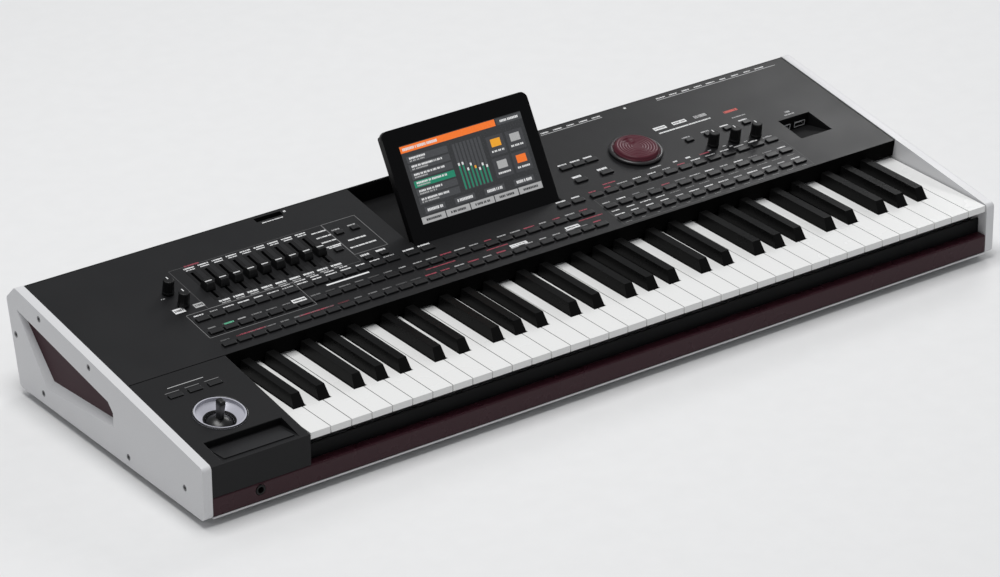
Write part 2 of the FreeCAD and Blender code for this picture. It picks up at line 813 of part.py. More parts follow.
# Sockets: headphone jack in the rail, rear sockets, metal ports in the recess.
phone_place = ("keys_left + headphone_x", "0", "foot_height + headphone_height")
phone_barrel = cylinder("phone_barrel", phone_place, "jack_radius", "rail_thick", "y")
phone_body = box("phone_body", ("keys_left + headphone_x - jack_body", "rail_thick",
                                "foot_height + headphone_height - jack_body"),
                 ("2 * jack_body", "jack_long", "2 * jack_body"))
phone_hollow = cylinder("phone_hollow",
                        ("keys_left + headphone_x", "-overrun", "foot_height + headphone_height"),
                        "jack_bore", "overrun + rail_thick + jack_long - jack_proud", "y")
phone = cut("phone_socket", fuse("phone_solid", [phone_barrel, phone_body]), [phone_hollow])
port_solids = []
port_holes = []
for side in ("-", "+"):
    corner = (f"keys_left + bay_x + bay_wide / 2 {side} port_step / 2 - port_wide / 2", "bay_rear",
              "-port_sink - port_high / 2")
    shell = box("port_shell", corner, ("port_wide", "port_deep", "port_high"))
    hollow = box("port_hollow",
                 (f"{corner[0]} + port_wall", "bay_rear - overrun", f"{corner[2]} + port_wall"),
                 ("port_wide - 2 * port_wall", "port_deep + overrun - port_wall",
                  "port_high - 2 * port_wall"))
    port_solids.append(cut("port_tube", shell, [hollow]))
    port_holes.append(box("port_hole", corner, ("port_wide", "port_deep", "port_high")))
socket_groups = [lay("phone_group", [phone], "case"), lay("rear_socket_group", rear_solids, "rear"),
                 lay("port_group", port_solids, "panel")]
node(group("sockets", socket_groups), "sockets")

# Recess with ports: a tray whose floor runs down to the rear wall.
bay_outline = [
    ("bay_front - bay_wall", "-panel_thick"),
    ("bay_rear + bay_wall", "-panel_thick"),
    ("bay_rear + bay_wall", "-bay_deep - bay_wall"),
    ("bay_front - bay_wall", "-panel_thick - bay_wall"),
]
bay_hollow = [
    ("bay_front", "-panel_thick"),
    ("bay_rear", "-bay_deep"),
    ("bay_rear", "overrun"),
    ("bay_front", "overrun"),
]
bay_solid = prism("bay_solid", bay_outline, "keys_left + bay_x - bay_wall", "bay_wide + 2 * bay_wall")
bay_room = prism("bay_room", bay_hollow, "keys_left + bay_x", "bay_wide")
node(lay("usb_bay", [cut("bay_tray", bay_solid, [bay_room] + port_holes)], "panel"), "usb_bay")

# Keys: each note is one sub-part, repeated once per octave, on a common rod.
WHITES = {
    # note: place in the octave, black neighbour on the left and on the right
    "c": (0, None, "c_sharp"),
    "d": (1, "c_sharp", "d_sharp"),
    "e": (2, "d_sharp", None),
    "f": (3, None, "f_sharp"),
    "g": (4, "f_sharp", "g_sharp"),
    "a": (5, "g_sharp", "a_sharp"),
    "b": (6, "a_sharp", None),
}
BLACKS = {
    # note: middle of the black key, from the left edge of its octave
    "c_sharp": "key_pitch - black_pair_offset",
    "d_sharp": "2 * key_pitch + black_pair_offset",
    "f_sharp": "4 * key_pitch - black_triple_offset",
    "g_sharp": "5 * key_pitch",
    "a_sharp": "6 * key_pitch + black_triple_offset",
}


def add_pivot(body, left, wide):
    """A round boss at the end of a key, bored for the rod."""
    middle = ("pivot_depth", "pivot_height")
    pad(body, circle(body, "YZ_Plane", left, middle, "pivot_boss_radius"), wide)
    pocket(body, circle(body, "YZ_Plane", left, middle, "pivot_radius + running_gap"), wide, True)


def white_key(name, left, right, tail_left, tail_right):
    """A white key: wide head, tail between the black keys, boss on the rod."""
    body = new_body(name)
    outline = [
        (left, "key_front"),
        (right, "key_front"),
        (right, "key_front + key_head"),
        (tail_right, "key_front + key_head"),
        (tail_right, "pivot_depth"),
        (tail_left, "pivot_depth"),
        (tail_left, "key_front + key_head"),
        (left, "key_front + key_head"),
    ]
    corners = [point for index, point in enumerate(outline) if point != outline[index - 1]]
    pad(body, polygon(body, "XY_Plane", "key_low", corners), "key_thick")
    add_pivot(body, tail_left, f"({tail_right}) - ({tail_left})")
    return body


for note, (place, before, after) in WHITES.items():
    left = f"keys_left + {place} * key_pitch + key_gap / 2"
    right = f"keys_left + {place} * key_pitch + key_pitch - key_gap / 2"
    tail_left = f"keys_left + {BLACKS[before]} + black_width / 2 + black_side_gap" if before else left
    tail_right = f"keys_left + {BLACKS[after]} - black_width / 2 - black_side_gap" if after else right
    body = white_key(f"{note}_key", left, right, tail_left, tail_right)
    repeat(body, SIZES["octave_count"], "octave_step")
    pieces = [body]
    if note == "c":
        last = ("keys_right - key_pitch + key_gap / 2", "keys_right - key_gap / 2")
        pieces.append(white_key("last_key", *last, *last))
    node(lay(f"{note}_keys", pieces, "case"), f"{note}_keys")

for note, middle in BLACKS.items():
    body = new_body(f"{note}_key")
    left = f"keys_left + {middle} - black_width / 2"
    right = f"keys_left + {middle} + black_width / 2"
    pad(body, polygon(body, "XY_Plane", "key_low", [(left, "black_front"), (right, "black_front"),
                                                    (right, "pivot_depth"), (left, "pivot_depth")]),
        "key_thick")
    add_pivot(body, left, "black_width")
    repeat(body, SIZES["octave_count"], "octave_step")
    caps = []
    for octave in range(SIZES["octave_count"]):
        cap = doc.addObject("Part::Wedge", f"{note}_cap")
        cap.Placement = FreeCAD.Placement(FreeCAD.Vector(), FreeCAD.Rotation(FreeCAD.Vector(1, 0, 0), 90))
        fields = {
            "Xmin": "-black_width / 2", "Xmax": "black_width / 2",
            "X2min": "-black_top_width / 2", "X2max": "black_top_width / 2",
            "Ymin": "0", "Ymax": "black_rise", "Zmin": "0", "Z2min": "0",
            "Zmax": "black_rear - black_front", "Z2max": "black_rear - black_front - black_tip_run",
        }
        for field, text in fields.items():
            bind(cap, field, text)
        move(cap, (f"keys_left + {middle} + {octave} * octave_step", "black_rear", "foot_height + key_top"))
        caps.append(cap)
    node(lay(f"{note}_keys", [fuse(f"{note}_solid", [body] + caps)], "case"), f"{note}_keys")

# Key bed with fins that carry the rod, the rod, the felt and the contact board.
bed_outline = [
    ("bed_front", "case_floor"),
    ("bed_front", "foot_height + bed_top"),
    ("bed_rear", "foot_height + bed_top"),
    ("bed_rear", "case_floor"),
    ("bed_rear - bed_thick", "case_floor"),
    ("bed_rear - bed_thick", "foot_height + bed_top - bed_thick"),
    ("bed_front + bed_thick", "foot_height + bed_top - bed_thick"),
    ("bed_front + bed_thick", "case_floor"),
]
bed = prism("bed_channel", bed_outline, "keys_left", "keys_right - keys_left")
fins = [box("bed_fin", (f"keys_left + {octave} * octave_step - fin_thick / 2", "pivot_depth - fin_depth / 2",
                        "foot_height + bed_top - bed_thick / 2"),
            ("fin_thick", "fin_depth", "pivot_height + fin_above - foot_height - bed_top + bed_thick / 2"))
        for octave in range(SIZES["octave_count"] + 1)]
fins.append(box("bed_last_fin", ("keys_right - fin_thick / 2", "pivot_depth - fin_depth / 2",
                                 "foot_height + bed_top - bed_thick / 2"),
                ("fin_thick", "fin_depth",
                 "pivot_height + fin_above - foot_height - bed_top + bed_thick / 2")))
rod_place = ("keys_left - fin_thick / 2", "pivot_depth", "pivot_height")
rod_hole = cylinder("rod_hole", rod_place, "pivot_radius", "keys_right - keys_left + fin_thick", "x")
node(lay("key_bed", [cut("bed_bored", fuse("bed_solid", [bed] + fins), [rod_hole])], "case"), "key_bed")
rod = cylinder("rod_bar", rod_place, "pivot_radius", "keys_right - keys_left + fin_thick", "x")
node(lay("key_pivot_rod", [rod], "case"), "key_pivot_rod")
felt = box("felt_strip", ("keys_left", "felt_front", "foot_height + bed_top"),
           ("keys_right - keys_left", "felt_depth", "felt_thick"))
node(lay("key_felt", [felt], "case"), "key_felt")
contact = box("contact_sheet", ("keys_left", "contact_front", "foot_height + bed_top"),
              ("keys_right - keys_left", "contact_depth", "board_thick"))
dome_strip = box("contact_strip", ("keys_left", "contact_dome_front", "foot_height + bed_top + board_thick"),
                 ("keys_right - keys_left", "contact_dome_depth", "contact_dome_height"))
node(lay("key_contact_board", [fuse("contact_solid", [contact, dome_strip])], "case"), "key_contact_board")

# Buttons: caps through the panel on a web under it, one web per group.
GROUPS = {
    # group: first x, first row, columns, column step, rows, row step, cap length
    "left": ("left_first", "row_front", 14, "column_step", 3, "row_step", "button_long"),
    "center": ("center_first", "row_front", 13, "column_step", 2, "row_step", "button_long"),
    "pair_left": ("pair_left_first", "pair_row", 2, "pair_step", 1, "row_step", "button_long"),
    "pair_right": ("pair_right_first", "pair_row", 2, "pair_step", 1, "row_step", "button_long"),
    "right": ("right_first", "row_front", SIZES["right_columns"], "right_column_step", 3, "row_step",
              "button_long"),
    "triple": ("triple_first", "triple_row", 3, "triple_step", 1, "row_step", "button_long"),
    "double": ("triple_first", "double_row", 2, "double_step", 1, "row_step", "button_long"),
    "small_front": ("small_first", "small_front_row", 2, "small_step", 1, "row_step", "small_button_long"),
    "small_rear": ("small_first", "small_rear_row", 2, "small_step", 1, "row_step", "small_button_long"),
    "single": ("single_first", "single_row", 1, "small_step", 1, "row_step", "small_button_long"),
    "effect": ("effect_first", "effect_row", 4, "effect_step", 1, "row_step", "small_button_long"),
    "block": ("block_button_first", "block_button_row", 3, "block_button_step", 1, "row_step",
              "button_long"),
}
BANKS = {
    "left_buttons": ["left"],
    "center_buttons": ["center", "pair_left", "pair_right"],
    "right_buttons": ["right"],
    "upper_buttons": ["triple", "double", "small_front", "small_rear", "single", "effect"],
    "block_buttons": ["block"],
}


def block_grid(name, group_name, level, high, extra):
    """A grid of blocks in the places of one group of buttons."""
    first, row, columns, step, rows, row_step, long = GROUPS[group_name]
    body = new_body(name)
    left = f"keys_left + {first} - {long} / 2 - {extra}"
    right = f"keys_left + {first} + {long} / 2 + {extra}"
    low = f"{row} - button_wide / 2 - {extra}"
    rear = f"{row} + button_wide / 2 + {extra}"
    pad(body, polygon(body, "XY_Plane", level, [(left, low), (right, low), (right, rear), (left, rear)]),
        high)
    if columns * rows > 1:
        repeat(body, columns, step, rows if rows > 1 else None, row_step)
    return body


def button_web(group_name):
    """The plate that joins the buttons of one group under the panel."""
    first, row, columns, step, rows, row_step, long = GROUPS[group_name]
    corner = (f"keys_left + {first} - {long} / 2 - button_margin", f"{row} - button_wide / 2 - button_margin",
              "-panel_thick - button_web")
    return box(f"{group_name}_web", corner, (f"{columns - 1} * {step} + {long} + 2 * button_margin",
                                             f"{rows - 1} * {row_step} + button_wide + 2 * button_margin",
                                             "button_web"))


for bank, members in BANKS.items():
    solids = []
    rise = "block_button_rise" if bank == "block_buttons" else "button_rise"
    for member in members:
        caps = block_grid(f"{member}_caps", member, "-panel_thick - button_web",
                          f"button_web + panel_thick + {rise}", "0")
        solids.append(fuse(f"{member}_solid", [caps, button_web(member)]))
    node(lay(bank, solids, "panel"), bank)
button_holes = {member: block_grid(f"{member}_holes", member, "-panel_thick - overrun",
                                   "panel_thick + 2 * overrun", "button_gap") for member in GROUPS}

# Faders: cap and stem slide in a track under the panel.
FADER_COUNT = 9
track = new_body("fader_track")
track_corners = [("keys_left + fader_first - track_wide / 2", "track_low"),
                 ("keys_left + fader_first + track_wide / 2", "track_low"),
                 ("keys_left + fader_first + track_wide / 2", "track_low + track_length"),
                 ("keys_left + fader_first - track_wide / 2", "track_low + track_length")]
slit_left = "keys_left + fader_first - fader_stem_wide / 2 - fader_gap"
slit_right = "keys_left + fader_first + fader_stem_wide / 2 + fader_gap"
slit_corners = [(slit_left, "track_low + track_end"), (slit_right, "track_low + track_end"),
                (slit_right, "track_low + track_length - track_end"),
                (slit_left, "track_low + track_length - track_end")]
pad(track, polygon(track, "XY_Plane", "-panel_thick - track_deep", track_corners), "track_deep")
pocket(track, polygon(track, "XY_Plane", "-panel_thick", slit_corners), "track_deep - track_floor")
repeat(track, FADER_COUNT, "fader_step")
slits = new_body("fader_slits")
pad(slits, polygon(slits, "XY_Plane", "-panel_thick - overrun", slit_corners), "panel_thick + 2 * overrun")
repeat(slits, FADER_COUNT, "fader_step")

for index in range(FADER_COUNT):
    middle = f"keys_left + fader_first + {index} * fader_step"
    cap = box(f"fader_cap_{index + 1}",
              (f"{middle} - fader_cap_wide / 2", "fader_rest - fader_cap_long / 2", "fader_lift"),
              ("fader_cap_wide", "fader_cap_long", "fader_cap_high"))
    stem = box(f"fader_stem_{index + 1}",
               (f"{middle} - fader_stem_wide / 2", "fader_rest - fader_stem_long / 2",
                "track_floor - track_deep - panel_thick"),
               ("fader_stem_wide", "fader_stem_long", "panel_thick + track_deep - track_floor + fader_lift"))
    node(lay(f"fader_{index + 1}", [fuse(f"fader_solid_{index + 1}", [cap, stem])], "panel"),
         f"fader_{index + 1}")

# Knobs and dial: each turns on its shaft in a body under the panel.
KNOBS = ("left_rear", "left_front", "right_first", "right_second", "right_third")
pots = [track]
panel_tools = [slits]
for name in KNOBS:
    across = f"keys_left + {name}_knob_x"
    back = f"{name}_knob_v"
    cone = doc.addObject("Part::Cone", f"{name}_cone")
    bind(cone, "Radius1", "knob_radius")
    bind(cone, "Radius2", "knob_top_radius")
    bind(cone, "Height", "knob_high")
    move(cone, (across, back, "knob_lift"))
    shaft = cylinder(f"{name}_shaft", (across, back, "-shaft_long"), "shaft_radius", "shaft_long + knob_lift")
    mark = box(f"{name}_mark",
               (f"{across} - knob_mark_wide / 2", f"{back} + knob_top_radius - knob_mark_long",
                "knob_lift + knob_high - knob_mark_deep"),
               ("knob_mark_wide", "knob_mark_long + overrun", "knob_mark_deep + overrun"))
    node(lay(f"{name}_knob", [cut(f"{name}_solid", fuse(f"{name}_turned", [cone, shaft]), [mark])], "panel"),
         f"{name}_knob")
    case = box(f"{name}_pot",
               (f"{across} - pot_wide / 2", f"{back} - pot_wide / 2", "-panel_thick - pot_deep"),
               ("pot_wide", "pot_wide", "pot_deep"))
    bore = cylinder(f"{name}_bore", (across, back, "-shaft_long"), "shaft_radius + running_gap", "shaft_long")
    pots.append(cut(f"{name}_case", case, [bore]))
    panel_tools.append(cylinder(f"{name}_hole", (across, back, "-panel_thick - overrun"), "shaft_hole",
                                "panel_thick + 2 * overrun"))

dial_place = ("keys_left + dial_x", "dial_v")
dial_rim = cylinder("dial_rim", (*dial_place, "knob_lift"), "dial_radius", "dial_rim_high")
dial_top = cylinder("dial_top", (*dial_place, "knob_lift"), "dial_top_radius", "dial_high")
dial_shaft = cylinder("dial_shaft", (*dial_place, "-shaft_long"), "shaft_radius", "shaft_long + knob_lift")
dimple = doc.addObject("Part::Sphere", "dial_dimple")
bind(dimple, "Radius", "dimple_ball")
move(dimple, ("keys_left + dial_x - dimple_out * cos(dimple_turn)", "dial_v + dimple_out * sin(dimple_turn)",
              "knob_lift + dial_high + dimple_ball - dimple_deep"))
dial = cut("dial_solid", fuse("dial_turned", [dial_rim, dial_top, dial_shaft]), [dimple])
node(lay("data_dial", [dial], "panel"), "data_dial")
encoder = box("encoder_block", ("keys_left + dial_x - pot_wide / 2", "dial_v - pot_wide / 2",
                                "-panel_thick - pot_deep"), ("pot_wide", "pot_wide", "pot_deep"))
encoder_bore = cylinder("encoder_bore", (*dial_place, "-shaft_long"), "shaft_radius + running_gap",
                        "shaft_long")
pots.append(cut("encoder_case", encoder, [encoder_bore]))
panel_tools.append(cylinder("dial_hole", (*dial_place, "-panel_thick - overrun"), "shaft_hole",
                            "panel_thick + 2 * overrun"))
node(lay("panel_potentiometers", pots, "panel"), "panel_potentiometers")

# Top panel with its lip and slot box, opened for everything that passes it.
sheet_low = "panel_split + panel_seam"
panel_sheet = box("panel_sheet", ("-inner_width / 2", sheet_low, "-panel_thick"),
                  ("inner_width", f"panel_rear - ({sheet_low})", "panel_thick"))
lip = box("panel_lip", ("keys_left - key_side_gap", sheet_low, "-lip_drop"),
          ("inner_width - block_width", "lip_thick", "lip_drop - panel_thick / 2"))
slot_box = box("slot_box",
               ("keys_left + slot_x - slot_wall", "slot_front - slot_wall", "-slot_deep - slot_wall"),
               ("slot_wide + 2 * slot_wall", "slot_long + 2 * slot_wall",
                "slot_deep + slot_wall - panel_thick / 2"))
panel_tools.append(box("slot_room_tool", ("keys_left + slot_x", "slot_front", "-slot_deep"),
                       ("slot_wide", "slot_long", "slot_deep + overrun")))
panel_tools.append(box("bay_opening", ("keys_left + bay_x", "bay_front", "-panel_thick - overrun"),
                       ("bay_wide", "bay_rear - bay_front", "panel_thick + 2 * overrun")))
panel_tools.append(box("display_opening",
                       ("display_center - tray_half", "tray_low", "-panel_thick - overrun"),
                       ("2 * tray_half", "panel_rear - tray_low + overrun", "panel_thick + 2 * overrun")))
panel_tools.extend(tool for member, tool in button_holes.items() if member != "block")
panel_solid = fuse("panel_solid", [panel_sheet, lip, slot_box])
node(lay("top_panel", [cut("panel_opened", panel_solid, panel_tools)], "panel"), "top_panel")

# Display: frame, glass and back cover tilt on two pins held by the tray.
frame_body = new_body("display_frame_body")
frame_corners = [("-display_width / 2", "-display_edge"), ("display_width / 2", "-display_edge"),
                 ("display_width / 2", "display_height - display_edge"),
                 ("-display_width / 2", "display_height - display_edge")]
frame_pad = pad(frame_body,
                polygon(frame_body, "XY_Plane", "display_edge - display_frame_thick", frame_corners),
                "display_frame_thick")
doc.recompute()
upright = [f"Edge{index}" for index, edge in enumerate(frame_pad.Shape.Edges, 1)
           if edge.BoundBox.ZLength > ALIKE and edge.BoundBox.YMin > 0]
soften(frame_body, frame_pad, upright, "display_corner_round")
screen_corner = ("screen_left - display_width / 2", "screen_low - display_edge",
                 "-display_frame_thick - overrun")
screen_room = box("screen_room", screen_corner,
                  ("screen_width", "screen_high", "display_frame_thick + 4 * overrun"))
pin_bores = [cylinder("pin_bore_left", ("-display_width / 2 - overrun", "0", "0"),
                      "hinge_pin_radius + running_gap", "hinge_pin_reach + overrun", "x"),
             cylinder("pin_bore_right", ("display_width / 2 - hinge_pin_reach", "0", "0"),
                      "hinge_pin_radius + running_gap", "hinge_pin_reach + overrun", "x")]
node(lay("display_frame", [cut("frame_opened", frame_body, [screen_room] + pin_bores)], "display"),
     "display_frame")
glass = box("glass_sheet", (*screen_corner[:2], "display_edge - glass_drop - glass_thick"),
            ("screen_width", "screen_high", "glass_thick"))
node(lay("display_glass", [glass], "display"), "display_glass")
cover = box("cover_shell", ("display_cover_inset - display_width / 2", "display_cover_inset - display_edge",
                            "display_edge - display_frame_thick - display_cover_thick"),
            ("display_width - 2 * display_cover_inset", "display_height - 2 * display_cover_inset",
             "display_cover_thick"))
panel_part = box("cover_panel", (*screen_corner[:2], "display_edge - display_frame_thick"),
                 ("screen_width", "screen_high", "display_frame_thick - glass_drop - glass_thick"))
node(lay("display_cover", [fuse("cover_solid", [cover, panel_part])], "display"), "display_cover")

tray_block = box("tray_block", ("display_center - tray_half - tray_wall", "tray_low - tray_wall",
                                "-tray_deep - tray_wall"),
                 ("2 * tray_half + 2 * tray_wall", "panel_rear - tray_low + 2 * tray_wall",
                  "tray_deep + tray_wall - panel_thick"))
tray_room_tool = box("tray_hollow", ("display_center - tray_half", "tray_low", "-tray_deep"),
                     ("2 * tray_half", "panel_rear - tray_low", "tray_deep + overrun"))
tray_step = box("tray_step", ("display_center - tray_half - tray_wall - overrun", "panel_rear",
                              "-panel_thick - rear_wall"),
                ("2 * tray_half + 2 * tray_wall + 2 * overrun", "tray_wall + overrun", "rear_wall + overrun"))
tray_pieces = [cut("tray_shell", tray_block, [tray_room_tool, tray_step])]
for side, ear_x, pin_x in (("left", "display_center - tray_half", "display_center - tray_half"),
                           ("right", "display_center + tray_half - ear_thick",
                            "display_center + display_width / 2 - hinge_pin_reach + ear_thick")):
    tray_pieces.append(box(f"{side}_ear", (ear_x, "display_v - ear_half", "-panel_thick - ear_deep"),
                           ("ear_thick", "2 * ear_half",
                            "panel_thick + ear_deep - display_sink + hinge_pin_radius")))
    tray_pieces.append(cylinder(f"{side}_pin", (pin_x, "display_v", "-display_sink"), "hinge_pin_radius",
                                "tray_side + hinge_pin_reach - ear_thick", "x"))
node(lay("display_tray", [fuse("tray_solid", tray_pieces)], "panel"), "display_tray")

# Joystick block: a shell left of the keys, with a wedge-shaped recess.
block_outline = [
    ("0", "rail_top"),
    ("0", "panel_front"),
    ("split_depth", "split_height"),
    ("split_depth", "case_floor"),
    ("rail_thick", "case_floor"),
    ("rail_thick", "rail_top"),
]
block_inside = [
    ("block_wall", "foot_height"),
    ("block_wall", "panel_front + block_wall * tan(panel_slope) - panel_drop_under"),
    ("split_depth + overrun", "panel_front + (split_depth + overrun) * tan(panel_slope) - panel_drop_under"),
    ("split_depth + overrun", "foot_height"),
]
block_solid = prism("block_solid_body", block_outline, "-inner_width / 2", "block_width")
block_room = prism("block_room", block_inside, "-inner_width / 2 - overrun",
                   "block_width - block_wall + overrun")
block_shell = lay("block_shell", [cut("block_hollowed", block_solid, [block_room])], "case")
ribbon_outline = [
    ("ribbon_front", "-panel_thick / 2"),
    ("ribbon_rear + block_wall", "-panel_thick / 2"),
    ("ribbon_rear + block_wall", "-ribbon_deep - block_wall"),
    ("ribbon_front", "-panel_thick - block_wall / 2"),
]
ribbon_room = [
    ("ribbon_front", "0"),
    ("ribbon_rear", "-ribbon_deep"),
    ("ribbon_rear", "overrun"),
    ("ribbon_front", "overrun"),
]
ribbon_tray = prism("ribbon_tray_body", ribbon_outline, "keys_left + ribbon_x - block_wall",
                    "ribbon_wide + 2 * block_wall")
ribbon_cut = prism("ribbon_room_body", ribbon_room, "keys_left + ribbon_x", "ribbon_wide")
bowl_hole = cylinder("bowl_hole", ("keys_left + stick_x", "stick_v", "-panel_thick - overrun"),
                     "bowl_outside + screw_gap", "panel_thick + 2 * overrun")
block_tools = lay("block_tools", [ribbon_cut, bowl_hole, button_holes["block"]], "panel")
block_fused = fuse("block_fused", [block_shell, lay("ribbon_tray", [ribbon_tray], "panel")])
node(cut("joystick_block", block_fused, [block_tools]), "joystick_block")

ribbon_fall = "ribbon_deep / (ribbon_rear - ribbon_front)"
strip_low = f"-ribbon_margin * {ribbon_fall}"
strip_high = f"ribbon_margin * {ribbon_fall} - ribbon_deep"
strip_outline = [
    ("ribbon_front + ribbon_margin", strip_low),
    ("ribbon_rear - ribbon_margin", strip_high),
    ("ribbon_rear - ribbon_margin", f"{strip_high} + ribbon_strip_thick"),
    ("ribbon_front + ribbon_margin", f"{strip_low} + ribbon_strip_thick"),
]
strip = prism("ribbon_strip_body", strip_outline, "keys_left + ribbon_x + ribbon_margin",
              "ribbon_wide - 2 * ribbon_margin")
node(lay("ribbon_strip", [strip], "panel"), "ribbon_strip")

# Joystick: fixed bowl with two lugs, gimbal ring in the lugs, stick in the ring.
bowl_profile = [
    ("bowl_radius", "0"),
    ("bowl_radius", "bowl_rim_high"),
    ("bowl_radius - bowl_rim", "bowl_rim_high"),
    ("bowl_radius - bowl_rim", "-bowl_step"),
    ("bowl_hole_radius", "-bowl_deep"),
    ("bowl_hole_radius + bowl_wall", "-bowl_deep - bowl_wall"),
    ("bowl_outside", "-bowl_step - bowl_wall"),
    ("bowl_outside", "0"),
]
bowl = new_body("bowl_body")
bowl_plan = polygon(bowl, "XZ_Plane", "0", bowl_profile)
turned = bowl.newObject("PartDesign::Revolution", "bowl_turned")
turned.Profile = bowl_plan
turned.ReferenceAxis = (bowl_plan, ["V_Axis"])
turned.Angle = 360
stick_place = ("keys_left + stick_x", "stick_v")
move(bowl, (*stick_place, "0"))
lug_reach = "gimbal_outer + gimbal_pin_long"
lugs = []
lug_bores = []
for side, lug_x in (("left", f"keys_left + stick_x - ({lug_reach})"),
                    ("right", f"keys_left + stick_x + {lug_reach} - lug_thick")):
    lugs.append(box(f"{side}_lug", (lug_x, "stick_v - lug_half_wide", "-stick_sink - lug_below"),
                    ("lug_thick", "2 * lug_half_wide", "stick_sink + lug_below - lug_top")))
    lug_bores.append(cylinder(f"{side}_lug_bore", (f"{lug_x} - overrun", "stick_v", "-stick_sink"),
                              "gimbal_pin_radius + running_gap", "lug_thick + 2 * overrun", "x"))
bowl_solid = cut("bowl_bored", fuse("bowl_fused", [bowl] + lugs), lug_bores)
node(lay("joystick_bowl", [bowl_solid], "panel"), "joystick_bowl")

ring = box("gimbal_block", ("keys_left + stick_x - gimbal_outer", "stick_v - gimbal_outer",
                            "-stick_sink - gimbal_half_high"),
           ("2 * gimbal_outer", "2 * gimbal_outer", "2 * gimbal_half_high"))
ring_room = box("gimbal_room", ("keys_left + stick_x - gimbal_inner", "stick_v - gimbal_inner",
                                "-stick_sink - gimbal_half_high - overrun"),
                ("2 * gimbal_inner", "2 * gimbal_inner", "2 * gimbal_half_high + 2 * overrun"))
ring_bore = cylinder("gimbal_bore",
                     ("keys_left + stick_x", "stick_v - gimbal_outer - overrun", "-stick_sink"),
                     "gimbal_pin_radius + running_gap", "2 * gimbal_outer + 2 * overrun", "y")
ring_pins = [cylinder("gimbal_left_pin", (f"keys_left + stick_x - ({lug_reach})", "stick_v", "-stick_sink"),
                      "gimbal_pin_radius", "gimbal_pin_long + gimbal_bar / 2", "x"),
             cylinder("gimbal_right_pin",
                      ("keys_left + stick_x + gimbal_outer - gimbal_bar / 2", "stick_v", "-stick_sink"),
                      "gimbal_pin_radius", "gimbal_pin_long + gimbal_bar / 2", "x")]
gimbal = cut("gimbal_bored", fuse("gimbal_fused", [cut("gimbal_ring", ring, [ring_room])] + ring_pins),
             [ring_bore])
node(lay("joystick_gimbal", [gimbal], "panel"), "joystick_gimbal")

dome = doc.addObject("Part::Sphere", "stick_dome")
bind(dome, "Radius", "dome_radius")
bind(dome, "Angle1", "dome_latitude")
move(dome, (*stick_place, "-stick_sink"))
post = cylinder("stick_post", (*stick_place, "-stick_sink"), "post_radius",
                "dome_radius * sin(dome_latitude)")
stick_pin = cylinder("stick_pin", ("keys_left + stick_x", "stick_v - gimbal_outer", "-stick_sink"),
                     "gimbal_pin_radius", "2 * gimbal_outer", "y")
blade = box("stick_blade", ("keys_left + stick_x - stick_wide / 2", "stick_v - stick_long / 2",
                            "dome_radius * sin(dome_latitude) - stick_sink"),
            ("stick_wide", "stick_long", "stick_above + stick_sink - dome_radius * sin(dome_latitude)"))
node(lay("joystick_stick", [fuse("stick_solid", [dome, post, stick_pin, blade])], "panel"), "joystick_stick")

# Circuit boards on posts and the power supply.
panel_board = box("panel_board", ("keys_left + panel_board_left", "panel_board_front", "-panel_board_drop"),
                  ("panel_board_wide", "panel_board_deep", "board_thick"))
post_length = "panel_board_drop - board_thick - panel_thick"
panel_posts = []
for across in ("board_post_inset", "panel_board_wide / 2", "panel_board_wide - board_post_inset"):
    for back in ("board_post_inset", "panel_board_deep - board_post_inset"):
        place = (f"keys_left + panel_board_left + {across}", f"panel_board_front + {back}",
                 "board_thick - panel_board_drop")
        panel_posts.append(cylinder("panel_post", place, "board_post_radius", post_length))
main_board = box("main_board", ("main_board_x", "inside_front", "case_floor + main_board_lift"),
                 ("main_board_wide", "main_board_deep", "board_thick"))
main_posts = []
for across in ("board_post_inset", "main_board_wide - board_post_inset"):
    for back in ("board_post_inset", "main_board_deep - board_post_inset"):
        place = (f"main_board_x + {across}", f"inside_front + {back}", "case_floor")
        main_posts.append(cylinder("main_post", place, "board_post_radius", "main_board_lift"))
boards = [lay("panel_boards", [fuse("panel_board_solid", [panel_board] + panel_posts)], "panel"),
          lay("main_boards", [fuse("main_board_solid", [main_board] + main_posts)], "case")]
node(group("circuit_boards", boards), "circuit_boards")
supply = box("supply_block", ("supply_x", "inside_front", "case_floor"),
             ("supply_wide", "supply_deep", "supply_high"))
node(lay("power_supply", [supply], "case"), "power_supply")

doc.recompute()
for item in doc.Objects:
    if {"Invalid", "Error"} & set(item.State):
        raise RuntimeError(f"{item.Name} failed: {item.State}")
os.makedirs("parts", exist_ok=True)
for item in nodes:
    if not item.Shape.Solids or not item.Shape.isValid():
        raise RuntimeError(f"{item.Label} is not a valid shape")
    item.Shape.exportStep(f"parts/{item.Label}.step")
    print(item.Label, len(item.Shape.Solids), round(item.Shape.Volume))
print(len(nodes), "sub-parts")
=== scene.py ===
# %% [markdown]
# # An arranger keyboard
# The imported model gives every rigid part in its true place. This lesson dresses it:
# printed panel marks, shaped caps and knobs, a lit screen, and finishes with grain.
# Lengths are in metres, +X runs along the keys, +Y points away from the player, +Z is up.

# %% Load the frame
import math

import bpy
import numpy as np
from mathutils import Matrix, Vector


